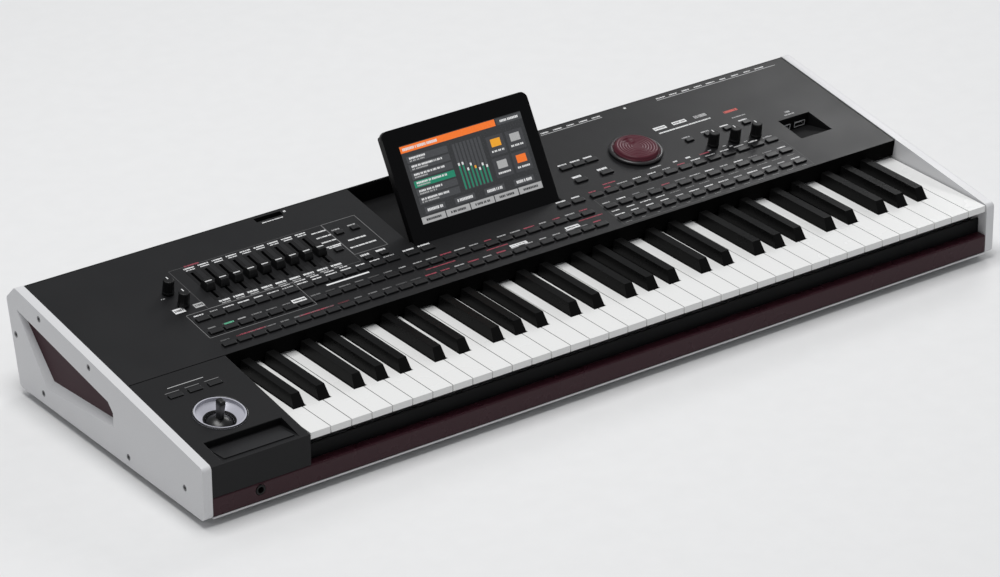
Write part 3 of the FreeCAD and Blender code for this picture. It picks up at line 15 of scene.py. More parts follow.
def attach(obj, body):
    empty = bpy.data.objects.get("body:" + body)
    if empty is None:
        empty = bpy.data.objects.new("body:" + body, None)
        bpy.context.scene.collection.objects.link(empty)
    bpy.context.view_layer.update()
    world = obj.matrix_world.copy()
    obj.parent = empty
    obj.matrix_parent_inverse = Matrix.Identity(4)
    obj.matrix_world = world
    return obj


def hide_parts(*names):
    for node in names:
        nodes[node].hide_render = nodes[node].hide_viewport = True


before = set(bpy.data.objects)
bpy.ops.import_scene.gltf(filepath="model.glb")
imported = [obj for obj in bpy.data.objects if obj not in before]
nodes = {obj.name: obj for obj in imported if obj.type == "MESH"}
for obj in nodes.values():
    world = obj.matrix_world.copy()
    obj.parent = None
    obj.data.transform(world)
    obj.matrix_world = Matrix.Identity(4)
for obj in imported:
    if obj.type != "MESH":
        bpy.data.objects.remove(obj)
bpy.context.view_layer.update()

# %% [markdown]
# ## Frames to draw in
# Most controls sit on a panel that slopes up to the rear, so their places are easier to
# give along the slope. The display leans back on its own axis and gets a frame as well.
# Both frames turn points in millimetres into metres in the model's frame.

# %% Frames of the panel and the display
SLOPE = math.radians(8.69)
CASE_DEPTH = 359.0
PANEL_FRONT = 62.7
KEYS_LEFT = -368.2
DISPLAY_TILT = math.radians(60.0)
DISPLAY_X, DISPLAY_V, DISPLAY_SINK = 363.7, 226.4, 1.0
PANEL_LENGTH, DISPLAY_LENGTH, DISPLAY_FACE = 344.0, 117.0, 2.5
MM_PER_METRE = 1000.0


def same_shape(*values):
    """The values as float arrays, each stretched to the shape that all of them fit."""
    return np.broadcast_arrays(*[np.asarray(value, float) for value in values])


def on_panel(x, v, n):
    """Point x right of the first key, v back along the slope, n above the panel."""
    x, v, n = same_shape(x, v, n)
    y = v * math.cos(SLOPE) - n * math.sin(SLOPE) - CASE_DEPTH / 2
    z = PANEL_FRONT + v * math.sin(SLOPE) + n * math.cos(SLOPE)
    return np.stack([KEYS_LEFT + x, y, z], -1) / MM_PER_METRE


def on_display(x, up, out):
    """Point x right of the display's middle, up from its hinge, out of its front."""
    x, up, out = same_shape(x, up, out)
    axis = on_panel(DISPLAY_X, DISPLAY_V, -DISPLAY_SINK) * MM_PER_METRE
    y = up * math.cos(DISPLAY_TILT) - out * math.sin(DISPLAY_TILT)
    z = up * math.sin(DISPLAY_TILT) + out * math.cos(DISPLAY_TILT)
    return (np.stack([x, y, z], -1) + axis) / MM_PER_METRE


print("panel rear edge", on_panel(0.0, PANEL_LENGTH, 0.0))
print("display top edge", on_display(0.0, DISPLAY_LENGTH, DISPLAY_FACE))

# %% [markdown]
# ## Mesh helpers
# A new piece is a grid of points, rows by columns, computed as one array. The helpers below
# put such a grid into a mesh, make the faces between its rows, and lay flat patches.

# %% Grid pieces
pieces = {}


def put(name, points, faces, body, slot, finish, smooth=True):
    """Make a mesh from an array of points and a list of faces, riding on one body."""
    mesh = bpy.data.meshes.new(name)
    mesh.from_pydata(np.asarray(points, float).reshape(-1, 3).tolist(), [], faces)
    mesh.update()
    if smooth:
        mesh.shade_smooth()
    item = bpy.data.objects.new(name, mesh)
    bpy.context.scene.collection.objects.link(item)
    item.data.materials.append(finish)
    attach(item, body)
    pieces[name] = item
    return item


def grid_faces(rows, columns):
    """Four-cornered faces between the rows of a grid, whose last column joins the first."""
    row, column = np.meshgrid(np.arange(rows - 1), np.arange(columns), indexing="ij")
    after = (column + 1) % columns
    a = row * columns + column
    b = row * columns + after
    return np.stack([a, b, b + columns, a + columns], -1).reshape(-1, 4).tolist()


def patches(place, boxes, level):
    """Flat patches: each box is low x, low v, high x, high v, laid at one level of a frame."""
    x0, v0, x1, v1 = np.asarray(boxes, float).T
    across = np.stack([x0, x1, x1, x0], -1)
    back = np.stack([v0, v0, v1, v1], -1)
    return place(across, back, level), np.arange(4 * len(x0)).reshape(-1, 4).tolist()


# %% [markdown]
# ## Finishes
# Painted metal, moulded plastic and gloss lacquer are all mostly one colour, yet none is
# flat: paint has a fine orange peel, moulded plastic a spark-eroded grain, gloss parts a
# thin haze from handling. One recipe covers them: a fine noise for grain and bump, and a
# broad noise that shifts the roughness.

# %% One recipe for moulded and painted surfaces
# most values of a noise lie between these two
NOISE_LOW, NOISE_HIGH = 0.3, 0.7
FINE_DETAIL, BROAD_SCALE, BROAD_DETAIL = 3.0, 22.0, 4.0
LEAST_ROUGH, RELIEF_DEPTH = 0.02, 0.0002


def make_finish(name, color, rough, metal=0.0, speck=0.08, grain=1400.0, bump=0.10, haze=0.03,
                gloss=0.5):
    """Noise-grained surface: fine noise moves colour and bump, broad noise moves roughness."""
    material = bpy.data.materials.new(name)
    material.use_nodes = True
    tree = material.node_tree
    shader = tree.nodes["Principled BSDF"]
    place = tree.nodes.new("ShaderNodeTexCoord")
    fine = tree.nodes.new("ShaderNodeTexNoise")
    fine.inputs["Scale"].default_value = grain
    fine.inputs["Detail"].default_value = FINE_DETAIL
    broad = tree.nodes.new("ShaderNodeTexNoise")
    broad.inputs["Scale"].default_value = BROAD_SCALE
    broad.inputs["Detail"].default_value = BROAD_DETAIL
    ramp = tree.nodes.new("ShaderNodeValToRGB")
    ramp.color_ramp.elements[0].position = NOISE_LOW
    ramp.color_ramp.elements[1].position = NOISE_HIGH
    for element, factor in zip(ramp.color_ramp.elements, (1 - speck, 1 + speck)):
        element.color = (*[min(1.0, part * factor) for part in color], 1.0)
    spread = tree.nodes.new("ShaderNodeMapRange")
    spread.inputs["From Min"].default_value = NOISE_LOW
    spread.inputs["From Max"].default_value = NOISE_HIGH
    spread.inputs["To Min"].default_value = max(LEAST_ROUGH, rough - haze)
    spread.inputs["To Max"].default_value = rough + haze
    relief = tree.nodes.new("ShaderNodeBump")
    relief.inputs["Strength"].default_value = bump
    relief.inputs["Distance"].default_value = RELIEF_DEPTH
    shader.inputs["Metallic"].default_value = metal
    shader.inputs["Specular IOR Level"].default_value = gloss
    for texture in (fine, broad):
        tree.links.new(place.outputs["Object"], texture.inputs["Vector"])
    tree.links.new(fine.outputs["Fac"], ramp.inputs["Fac"])
    tree.links.new(ramp.outputs["Color"], shader.inputs["Base Color"])
    tree.links.new(broad.outputs["Fac"], spread.inputs["Value"])
    tree.links.new(spread.outputs["Result"], shader.inputs["Roughness"])
    tree.links.new(fine.outputs["Fac"], relief.inputs["Height"])
    tree.links.new(relief.outputs["Normal"], shader.inputs["Normal"])
    return material


WHITE_PAINT = make_finish("white_satin_paint", (0.66, 0.66, 0.67), 0.40, speck=0.02, grain=900.0)
PANEL_PAINT = make_finish("panel_black_paint", (0.008, 0.008, 0.0088), 0.40,
                          speck=0.12, grain=2200.0, bump=0.14, gloss=0.24)
BLOCK_PLASTIC = make_finish("block_black_plastic", (0.009, 0.009, 0.0098), 0.46,
                            grain=1800.0, bump=0.14, gloss=0.17)
DARK_PLASTIC = make_finish("dark_moulded_plastic", (0.005, 0.005, 0.0053), 0.42,
                           grain=1800.0, gloss=0.22)
WELL_PLASTIC = make_finish("well_matt_plastic", (0.006, 0.006, 0.0065), 0.65,
                           grain=1800.0, gloss=0.15)
RED_LACQUER = make_finish("dark_red_lacquer", (0.034, 0.0090, 0.0140), 0.28,
                          grain=700.0, bump=0.02, gloss=0.22)
INSERT_RED = make_finish("insert_dark_red", (0.040, 0.013, 0.019), 0.40,
                         grain=900.0, bump=0.05, gloss=0.10)
SILVER_PAINT = make_finish("silver_paint", (0.55, 0.55, 0.56), 0.35, metal=0.6, speck=0.05)
KEY_WHITE = make_finish("white_key_plastic", (0.80, 0.80, 0.79), 0.26,
                        speck=0.01, grain=600.0, bump=0.02, haze=0.05, gloss=0.20)
# painted shade: a dull black that darkens the lip over the keys
LIP_PAINTED_SHADE = make_finish("lip_painted_shade", (0.0025, 0.0025, 0.0025), 0.90,
                        grain=2600.0, gloss=0.04)
KEY_BLACK = make_finish("black_key_plastic", (0.004, 0.004, 0.004), 0.28,
                        grain=1500.0, bump=0.04, gloss=0.08)
RUBBER = make_finish("foot_rubber", (0.018, 0.018, 0.018), 0.75, speck=0.2, grain=900.0, bump=0.3)
STEEL = make_finish("plain_steel", (0.50, 0.50, 0.51), 0.32, metal=1.0,
                    speck=0.06, grain=1600.0, bump=0.05)
DARK_STEEL = make_finish("blackened_steel", (0.16, 0.16, 0.165), 0.38, metal=1.0,
                         speck=0.10, grain=1600.0, bump=0.05)
BED_PAINT = make_finish("bed_grey_paint", (0.12, 0.12, 0.125), 0.5, speck=0.06)
FELT = make_finish("red_felt", (0.20, 0.02, 0.02), 0.95, speck=0.5, grain=2600.0, bump=0.9)
BOARD = make_finish("board_green", (0.02, 0.10, 0.05), 0.45, speck=0.2, grain=300.0)
BUTTON_PLASTIC = make_finish("button_plastic", (0.009, 0.009, 0.0097), 0.34,
                             grain=2000.0, bump=0.06, gloss=0.36)
DISPLAY_PLASTIC = make_finish("display_black_plastic", (0.0030, 0.0030, 0.0034), 0.32,
                              grain=2200.0, bump=0.04, gloss=0.10)
GLASS_BLACK = make_finish("screen_glass_black", (0.006, 0.006, 0.007), 0.10,
                          speck=0.05, bump=0.0, gloss=0.3)
DIAL_RED = make_finish("dial_dark_red", (0.078, 0.015, 0.024), 0.36, grain=1500.0, gloss=0.18)
DIAL_RIM = make_finish("dial_dark_rim", (0.022, 0.021, 0.022), 0.30, gloss=0.45)
DISH_SILVER = make_finish("dish_silver_paint", (0.54, 0.54, 0.60), 0.26, metal=0.15,
                          speck=0.03, bump=0.03)
GLOSS_BLACK = make_finish("gloss_black_plastic", (0.006, 0.006, 0.006), 0.12, bump=0.01, gloss=0.35)
BALL_BLACK = make_finish("ball_black_plastic", (0.005, 0.005, 0.005), 0.30, bump=0.02, gloss=0.45)
STRIP_GREY = make_finish("ribbon_grey_film", (0.016, 0.016, 0.017), 0.36, grain=700.0, gloss=0.25)
# painted sheen: a pale grey with no metal that stands for the shine of the plated shells
SHELL_PAINTED_SHEEN = make_finish("port_shell_painted_sheen", (0.86, 0.86, 0.87), 0.40, speck=0.03)
LINE_WHITE = make_finish("line_white_paint", (0.70, 0.70, 0.70), 0.5, speck=0.05)
print(len(bpy.data.materials), "materials so far")

# %% [markdown]
# ## Finishes on the rigid parts
# The CAD parts whose shapes are right stay as they are and only receive finishes. Their
# meshes are loose triangles, so a Weld joins the corners before a small Bevel breaks the
# edges: moulded and painted edges are never razor sharp, and the break catches light.

# %% Dress the CAD nodes
NODE_FINISH = {
    "left_end_panel": WHITE_PAINT, "right_end_panel": WHITE_PAINT, "end_inserts": INSERT_RED,
    "case_screws": DARK_STEEL, "bottom_plate": SILVER_PAINT, "rubber_feet": RUBBER,
    "front_rail": RED_LACQUER, "key_slip": WELL_PLASTIC, "rear_panel": PANEL_PAINT,
    "usb_bay": WELL_PLASTIC, "key_bed": BED_PAINT, "key_pivot_rod": STEEL, "key_felt": FELT,
    "key_contact_board": BOARD, "top_panel": PANEL_PAINT, "panel_potentiometers": WELL_PLASTIC,
    "display_tray": WELL_PLASTIC, "joystick_block": BLOCK_PLASTIC, "ribbon_strip": STRIP_GREY,
    "joystick_bowl": DISH_SILVER, "circuit_boards": BOARD, "power_supply": STEEL,
    "data_dial": DIAL_RED, "display_frame": DISPLAY_PLASTIC, "display_glass": GLASS_BLACK,
    "display_cover": DISPLAY_PLASTIC, "joystick_stick": BALL_BLACK,
    "_sharp_keys": KEY_BLACK, "_keys": KEY_WHITE, "_buttons": BUTTON_PLASTIC,
}


def by_ending(name, table, default):
    """The first entry of a table whose key is the end of a name."""
    return next((entry for ending, entry in table.items() if name.endswith(ending)), default)


for name, item in nodes.items():
    item.data.materials.clear()
    item.data.materials.append(by_ending(name, NODE_FINISH, DARK_PLASTIC))
print("dressed", len(nodes), "nodes")

# %% Break the edges
EDGE_BREAK = {
    "_sharp_keys": 0.0011, "_keys": 0.0007, "_buttons": 0.0006, "_end_panel": 0.0012,
    "front_rail": 0.0015, "joystick_block": 0.0008, "display_frame": 0.0008,
    "display_cover": 0.003, "key_slip": 0.0006, "rubber_feet": 0.0012,
}
WELD_REACH, BREAK_STEPS, SHARP_ANGLE = 0.00002, 2, math.radians(40)
broken = 0
for name, item in nodes.items():
    width = by_ending(name, EDGE_BREAK, None)
    if width:
        weld = item.modifiers.new("weld", "WELD")
        weld.merge_threshold = WELD_REACH
        edge = item.modifiers.new("edge_break", "BEVEL")
        edge.width = width
        edge.segments = BREAK_STEPS
        edge.limit_method = "ANGLE"
        edge.angle_limit = SHARP_ANGLE
        broken += 1
print("broke the edges of", broken, "nodes")

# %% [markdown]
# ## Printed marks
# The panel is silk-screened: thin pale inks lie on the paint with no thickness to speak of.
# Each mark is one four-cornered patch a few hundredths of a millimetre above the panel. Its
# ink is stored as a colour on the patch, so that one material prints them all.

# %% An ink that reads its colour from the patch
INK_THIN, INK_THICK, INK_HAZE, INK_GLOSS = 0.82, 1.12, 0.1, 0.25


def make_ink(name, rough, glow=0.0, grain=2500.0):
    """Colour from the patch, with a fine noise that thins the ink and moves its roughness."""
    material = bpy.data.materials.new(name)
    material.use_nodes = True
    tree = material.node_tree
    shader = tree.nodes["Principled BSDF"]
    tint = tree.nodes.new("ShaderNodeAttribute")
    tint.attribute_name = "tint"
    place = tree.nodes.new("ShaderNodeTexCoord")
    noise = tree.nodes.new("ShaderNodeTexNoise")
    noise.inputs["Scale"].default_value = grain
    thin = tree.nodes.new("ShaderNodeMapRange")
    thin.inputs["To Min"].default_value = INK_THIN
    thin.inputs["To Max"].default_value = INK_THICK
    worn = tree.nodes.new("ShaderNodeMix")
    worn.data_type = "RGBA"
    worn.blend_type = "MULTIPLY"
    worn.inputs["Factor"].default_value = 1.0
    matte = tree.nodes.new("ShaderNodeMapRange")
    matte.inputs["To Min"].default_value = rough - INK_HAZE
    matte.inputs["To Max"].default_value = rough + INK_HAZE
    shader.inputs["Specular IOR Level"].default_value = INK_GLOSS
    tree.links.new(place.outputs["Object"], noise.inputs["Vector"])
    tree.links.new(noise.outputs["Fac"], thin.inputs["Value"])
    tree.links.new(noise.outputs["Fac"], matte.inputs["Value"])
    tree.links.new(tint.outputs["Color"], worn.inputs["A"])
    tree.links.new(thin.outputs["Result"], worn.inputs["B"])
    tree.links.new(worn.outputs["Result"], shader.inputs["Base Color"])
    tree.links.new(matte.outputs["Result"], shader.inputs["Roughness"])
    if glow:
        tree.links.new(worn.outputs["Result"], shader.inputs["Emission Color"])
        shader.inputs["Emission Strength"].default_value = glow
    return material


PANEL_INK = make_ink("panel_ink", 0.55)
SCREEN_INK = make_ink("screen_picture", 0.25, glow=0.45, grain=900.0)


def print_marks(name, place, marks, level, body, slot, ink):
    """Patches from rows of low x, low v, high x, high v and a colour."""
    points, faces = patches(place, [mark[:4] for mark in marks], level)
    item = put(name, points, faces, body, slot, ink, smooth=False)
    tint = item.data.color_attributes.new("tint", "FLOAT_COLOR", "CORNER")
    colors = np.array([[*mark[4], 1.0] for mark in marks])
    tint.data.foreach_set("color", np.repeat(colors, 4, axis=0).astype(np.float32).ravel())
    return item


# %% [markdown]
# ## Legends by the buttons
# Small print is shown as rows of bars about as wide as letters: a stand-in that says where a
# legend sits and nothing more. The lengths come from a seeded generator, so every run prints
# the same panel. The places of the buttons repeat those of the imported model.

# %% Inks and bars of small print
WHITE, PALE, INK_BLACK = (0.82, 0.82, 0.82), (0.45, 0.45, 0.45), (0.004, 0.004, 0.004)
GREY, DIM = (0.20, 0.20, 0.20), (0.09, 0.09, 0.09)
RED, DEEP_RED = (0.36, 0.06, 0.09), (0.13, 0.022, 0.032)
LAMP_RED, LAMP_GREEN = (0.62, 0.12, 0.10), (0.14, 0.56, 0.34)
NARROW_BAR, WIDE_BAR, LETTER_GAP, WORD_GAP = 0.6, 1.1, 0.22, 0.75
WORD_ENDS = 0.2
PRINT_PITCH = 1.15
rng = np.random.default_rng(61)
marks = []


def letters(start, end, pitch):
    """Starts and ends of bars between two places: random widths, now and then a wider gap."""
    widths = rng.uniform(NARROW_BAR, WIDE_BAR, max(2, int((end - start) / pitch)))
    gaps = np.where(rng.random(len(widths)) < WORD_ENDS, WORD_GAP, LETTER_GAP)
    gaps[-1] = 0.0
    scale = (end - start) / (widths + gaps).sum()
    stops = start + np.cumsum(widths + gaps) * scale
    return zip(stops - (widths + gaps) * scale, stops - gaps * scale)


def words(x, v, wide, high, color):
    """A line of small print centred on a place of the panel."""
    for low, top in letters(x - wide / 2, x + wide / 2, PRINT_PITCH):
        marks.append((low, v - high / 2, top, v + high / 2, color))


# %% Small print by the buttons
ROWS = (164.0, 188.0, 212.0)
LEFT_COLUMNS = 13.5 + 17.3 * np.arange(14)
CENTER_COLUMNS = 257.0 + 17.3 * np.arange(13)
RIGHT_COLUMNS = 494.0 + 19.4 * np.arange(13)
BANK_INKS = (
    # columns, row, inks to draw from
    (LEFT_COLUMNS, ROWS[0], (GREY, DIM, DEEP_RED, GREY)),
    (LEFT_COLUMNS, ROWS[1], (GREY, PALE, GREY, DIM)),
    (LEFT_COLUMNS, ROWS[2], (WHITE, WHITE, PALE, WHITE)),
    (CENTER_COLUMNS, ROWS[0], (PALE, GREY, RED, PALE)),
    (CENTER_COLUMNS, ROWS[1], (PALE, GREY, RED, PALE)),
    (RIGHT_COLUMNS, ROWS[0], (WHITE, WHITE, PALE, WHITE)),
    (RIGHT_COLUMNS, ROWS[1], (PALE, GREY, RED, WHITE)),
    (RIGHT_COLUMNS, ROWS[2], (WHITE, PALE, RED, WHITE)),
)
# a legend stands behind its button; some columns have further lines
LEGEND_RISE = 8.2
SECOND_V, FRONT_V, LEFT_TOP_V, GREY_FROM = 179.6, 156.5, 224.6, 565.0
for columns, row, inks in BANK_INKS:
    for x in columns:
        words(x, row + LEGEND_RISE, rng.uniform(8.0, 13.5), rng.uniform(1.5, 1.9),
              inks[rng.integers(4)])
for x in RIGHT_COLUMNS:
    words(x, SECOND_V, rng.uniform(9.0, 14.0), 1.3, GREY if x > GREY_FROM else WHITE)
    words(x, FRONT_V, rng.uniform(3.0, 9.0), 1.0, GREY)
for x in LEFT_COLUMNS[6:11]:
    words(x, LEFT_TOP_V, rng.uniform(9.0, 13.0), 1.5, WHITE)
UPPER_LEGENDS = (
    # x, v, width, height, ink
    (262.0, 220.0, 13.0, 2.2, WHITE), (281.0, 220.0, 14.0, 2.2, WHITE),
    (453.0, 220.0, 12.0, 2.0, WHITE), (472.0, 220.0, 10.0, 2.0, WHITE),
    (497.0, 277.6, 11.0, 2.2, WHITE), (513.5, 277.6, 12.0, 2.2, WHITE),
    (530.0, 277.6, 11.0, 2.2, WHITE), (497.0, 251.6, 11.0, 3.4, WHITE),
    (530.0, 251.6, 12.0, 3.4, WHITE), (218.0, 233.0, 10.0, 3.0, WHITE),
    (237.0, 233.0, 11.0, 3.0, WHITE), (218.0, 286.0, 9.0, 2.0, PALE),
    (237.0, 286.0, 9.0, 2.0, PALE), (200.0, 259.5, 14.0, 1.8, WHITE),
    (648.0, 260.5, 10.0, 2.0, PALE), (673.7, 260.5, 10.0, 2.0, PALE),
    (699.4, 260.5, 11.0, 2.0, WHITE), (725.1, 260.5, 11.0, 2.0, WHITE),
    (520.0, 226.0, 16.0, 1.6, RED), (583.0, 228.5, 14.0, 1.8, PALE),
    (608.0, 227.0, 5.0, 2.0, WHITE), (625.0, 227.0, 6.0, 2.4, WHITE),
    (646.0, 225.5, 12.0, 1.8, RED),
)
for legend in UPPER_LEGENDS:
    words(*legend)
print(len(marks), "bars of small print by the buttons")

# %% [markdown]
# Faders, knobs and the rear edge have legends of their own, with frames that tie groups
# together. Pale fields with dark print stand where the panel is marked with more than a line.

# %% Legends of faders, fields and groups
FADERS = 47.5 + 16.5 * np.arange(9)
FADER_LINES = (
    # shift from the fader, v, width, height, ink
    (2.0, 296.0, 12.0, 1.9, WHITE), (2.0, 292.6, 10.0, 1.5, WHITE),
    (3.0, 231.4, 12.0, 2.7, WHITE), (3.0, 227.6, 10.0, 1.5, PALE),
)
for x in FADERS:
    for shift, *line in FADER_LINES:
        words(x + shift, *line)
for v in (290.0, 280.5, 271.0, 262.0):
    words(200.0, v, 17.0, 1.9, WHITE)
FIELDS = (
    # low x, low v, high x, high v, ink
    (-5.0, 232.0, 7.0, 240.0, WHITE), (18.0, 232.0, 29.0, 239.0, PALE),
    (107.0, 193.0, 123.0, 199.0, WHITE), (357.0, 173.2, 378.0, 177.4, WHITE),
    (427.0, 172.5, 444.0, 177.8, WHITE), (627.0, 286.0, 643.0, 291.8, WHITE),
    (652.0, 286.5, 670.0, 291.8, WHITE),
)
FIELD_EDGE, FIELD_PITCH, PRINT_LOW, PRINT_TOP = 1.2, 1.5, 0.3, 0.72
for x0, v0, x1, v1, color in FIELDS:
    marks.append((x0, v0, x1, v1, color))
    low_v, top_v = v0 + PRINT_LOW * (v1 - v0), v0 + PRINT_TOP * (v1 - v0)
    for low, top in letters(x0 + FIELD_EDGE, x1 - FIELD_EDGE, FIELD_PITCH):
        marks.append((low, low_v, top, top_v, INK_BLACK))
LONG_LEGENDS = (
    # x, v, width, height, ink
    (55.0, 300.0, 17.0, 2.2, RED), (33.0, 195.6, 11.0, 2.4, LAMP_GREEN),
    (228.5, 262.6, 21.0, 2.2, WHITE), (228.0, 250.2, 31.0, 2.2, WHITE),
    (689.0, 288.8, 16.0, 5.0, PALE), (662.0, 280.0, 69.0, 2.2, WHITE),
    (725.0, 281.5, 18.0, 4.0, LAMP_RED), (726.0, 268.6, 18.0, 1.6, PALE),
    (778.0, 246.0, 13.0, 2.0, PALE), (779.0, 251.0, 6.0, 3.0, PALE),
    (171.5, 331.2, 25.0, 1.5, WHITE), (191.0, 339.5, 2.6, 2.6, WHITE),
    (626.0, 339.5, 3.0, 2.6, WHITE), (120.0, 172.0, 40.0, 1.8, RED),
    (46.0, 172.5, 30.0, 1.8, RED), (275.0, 181.0, 36.0, 1.5, RED),
    (345.0, 181.0, 26.0, 1.5, RED), (463.0, 181.0, 30.0, 1.5, RED),
)
for legend in LONG_LEGENDS:
    words(*legend)

# %% Legends along the rear edge and under the knobs
REAR_LINE_LOW, REAR_LINE_TOP, REAR_LEGEND_V, REAR_PITCH = 335.4, 336.3, 339.0, 17.0
for low, high_end in ((512.0, 593.0), (667.0, 830.0)):
    marks.append((low, REAR_LINE_LOW, high_end, REAR_LINE_TOP, PALE))
    for x in np.arange(low + 7.0, high_end - 4.0, REAR_PITCH):
        words(x, REAR_LEGEND_V, rng.uniform(7.0, 12.0), 1.8, WHITE)
KNOB_PLACES = {
    "left_rear": (7.7, 267.3), "left_front": (9.9, 242.0), "right_first": (664.2, 233.9),
    "right_second": (690.5, 230.3), "right_third": (717.1, 227.7),
}
KNOB_LEGEND_X, KNOB_LEGEND_V = 10.0, 6.5
for x, v in KNOB_PLACES.values():
    for side in (-1, 1):
        words(x + side * KNOB_LEGEND_X, v - KNOB_LEGEND_V, 4.0, 1.4, PALE)
print(len(marks), "marks of all legends")

# %% Frames round groups, and the print
PRINT_LEVEL = 0.05


def outline(x0, v0, x1, v1, width, color):
    """Four thin lines round a box."""
    marks.extend([(x0, v0, x1, v0 + width, color), (x0, v1 - width, x1, v1, color),
                  (x0, v0, x0 + width, v1, color), (x1 - width, v0, x1, v1, color)])


marks.append((153.5, 203.9, 204.5, 206.1, WHITE))
outline(2.0, 181.0, 127.0, 225.5, 0.6, GREY)
outline(28.0, 225.5, 209.0, 300.0, 0.5, DIM)
outline(209.0, 238.0, 250.0, 300.0, 0.6, GREY)
outline(486.0, 153.5, 738.0, 206.6, 0.5, DIM)
print_marks("panel_legends", on_panel, marks, PRINT_LEVEL, "case", "panel_black", PANEL_INK)
block_marks = [
    (-79.0, 128.2, -39.0, 129.1, PALE), (-86.0, 121.2, -70.0, 122.0, GREY),
    (-64.0, 121.2, -48.0, 122.0, GREY), (-42.0, 121.2, -26.0, 122.0, GREY),
]
print_marks("block_legends", on_panel, block_marks, PRINT_LEVEL, "case", "block_black", PANEL_INK)
print(len(marks) + len(block_marks), "marks printed")

# %% [markdown]
# Above the keys the panel turns down into a lip. Its face carries painted shade: a duller
# black than the panel that stands for the shade over the keys, so that it does not mirror
# the white keys. Like the printed marks, it is a flat patch a hair off the lip.

# %% Painted shade on the lip
LIP_V, LIP_LOW, LIP_TOP, LIP_LEFT, LIP_RIGHT = 150.33, -19.4, -0.5, -0.3, 846.5
lip_x = [LIP_LEFT, LIP_RIGHT, LIP_RIGHT, LIP_LEFT]
lip_n = [LIP_LOW, LIP_LOW, LIP_TOP, LIP_TOP]
put("panel_lip_painted_shade", on_panel(lip_x, LIP_V, lip_n), [[0, 1, 2, 3]], "case", "panel_black",
    LIP_PAINTED_SHADE, smooth=False)
print("lip paint", LIP_RIGHT - LIP_LEFT, "mm long")

# %% [markdown]
# ## Turned and stacked shapes
# Knobs, the dial and sockets are round: a profile of radius and height carried once round.
# Caps are stacks of rounded rectangles, each level with its own size, as a moulded cap has
# draft and softened corners. Both give shells, closed by a face at each end or left open.

# %% Shape helpers
def shell_faces(rows, columns, ends):
    """Faces between the rows of a closed grid, with one face over each end row if asked for."""
    faces = grid_faces(rows, columns)
    if ends:
        faces.append(list(range((rows - 1) * columns, rows * columns)))
        faces.append(list(range(columns))[::-1])
    return faces


def turned(place, x, v, profile, sides=48, flute=0.0, flutes=0, ends=True):
    """Rows of radius and height carried round; a cosine of the angle ripples the radius."""
    radius, height = np.asarray(profile, float).T
    angle = np.linspace(0, 2 * np.pi, sides, endpoint=False)
    ripple = 1 + flute * np.cos(flutes * angle)
    across = x + np.outer(radius, ripple * np.cos(angle))
    back = v + np.outer(radius, ripple * np.sin(angle))
    points = place(across, back, height[:, None])
    return points.reshape(-1, 3), shell_faces(len(radius), sides, ends)


def stacked(place, x, v, levels, steps=5, ends=True):
    """Rounded rectangles in a stack: rows of height, half width, half length, corner radius."""
    height, half_x, half_v, corner = [part[:, None] for part in np.asarray(levels, float).T]
    quarter = np.repeat(np.arange(4), steps)
    angle = quarter * np.pi / 2 + np.tile(np.linspace(0, np.pi / 2, steps), 4)
    sign_x = np.array([1, -1, -1, 1])[quarter]
    sign_v = np.array([1, 1, -1, -1])[quarter]
    across = x + sign_x * (half_x - corner) + corner * np.cos(angle)
    back = v + sign_v * (half_v - corner) + corner * np.sin(angle)
    points = place(across, back, height)
    return points.reshape(-1, 3), shell_faces(len(levels), 4 * steps, ends)


def joined(parts):
    """Several point and face lists as one."""
    points = np.concatenate([part[0] for part in parts])
    starts = np.cumsum([0] + [len(part[0]) for part in parts[:-1]])
    faces = [[int(start) + index for index in face]
             for start, part in zip(starts, parts) for face in part[1]]
    return points, faces


def two_finishes(item, finish, first_face):
    """Give a second finish to the faces of a piece from one face on."""
    item.data.materials.append(finish)
    kinds = np.zeros(len(item.data.polygons), np.int32)
    kinds[first_face:] = 1
    item.data.polygons.foreach_set("material_index", kinds)


# %% [markdown]
# ## Faders
# Nine caps slide in slots. A cap is a small block with sloped flanks, a hollow for the
# fingertip and a pale line; under it a flat stem goes down into the slot. On both sides of
# every slot the panel carries painted shade, matt black strips for the shade of slot and cap.

# %% Fader caps
FADER_V = 257.0
CAP_LEVELS = [
    (0.7, 5.3, 6.3, 0.8), (1.6, 5.5, 6.5, 1.0), (4.0, 5.2, 6.0, 1.0), (7.2, 4.5, 5.0, 0.9),
    (8.2, 4.2, 4.6, 0.7), (8.5, 3.8, 4.2, 0.5), (8.2, 3.2, 3.4, 0.4), (7.9, 1.6, 1.6, 0.3),
]
STEM_LEVELS = [(-9.8, 1.1, 1.9, 0.2), (0.9, 1.1, 1.9, 0.2)]
CAP_LINE = [(7.6, 3.9, 0.6, 0.1), (8.55, 3.9, 0.6, 0.1)]
for index, x in enumerate(FADERS, 1):
    cap = stacked(on_panel, x, FADER_V, CAP_LEVELS)
    stem = stacked(on_panel, x, FADER_V, STEM_LEVELS, steps=2)
    line = stacked(on_panel, x, FADER_V, CAP_LINE, steps=2)
    item = put(f"fader_cap_{index}", *joined([cap, stem, line]), f"fader_{index}", "fader_dark",
               DARK_PLASTIC, smooth=False)
    two_finishes(item, LINE_WHITE, len(cap[1]) + len(stem[1]))
    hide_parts(f"fader_{index}")
print("fader caps", len(FADERS))

# %% Painted shade beside the slots
SLOT_FRONT, SLOT_REAR, SLOT_HALF, SHADE_HALF, SHADE_LEVEL = 234.5, 290.0, 1.7, 5.6, 0.03
slot_shades = [(x - SHADE_HALF, SLOT_FRONT, x - SLOT_HALF, SLOT_REAR) for x in FADERS]
slot_shades += [(x + SLOT_HALF, SLOT_FRONT, x + SHADE_HALF, SLOT_REAR) for x in FADERS]
# painted shade: matt black strips that widen the dark band of each slot
put("fader_slot_painted_shade", *patches(on_panel, slot_shades, SHADE_LEVEL), "case", "panel_black",
    WELL_PLASTIC, smooth=False)
print("slot masks", len(slot_shades))

# %% [markdown]
# ## Knobs
# A knob is turned with a skirt and fine flutes for grip, and carries a pale pointer on its
# top that runs a little way down its flank.

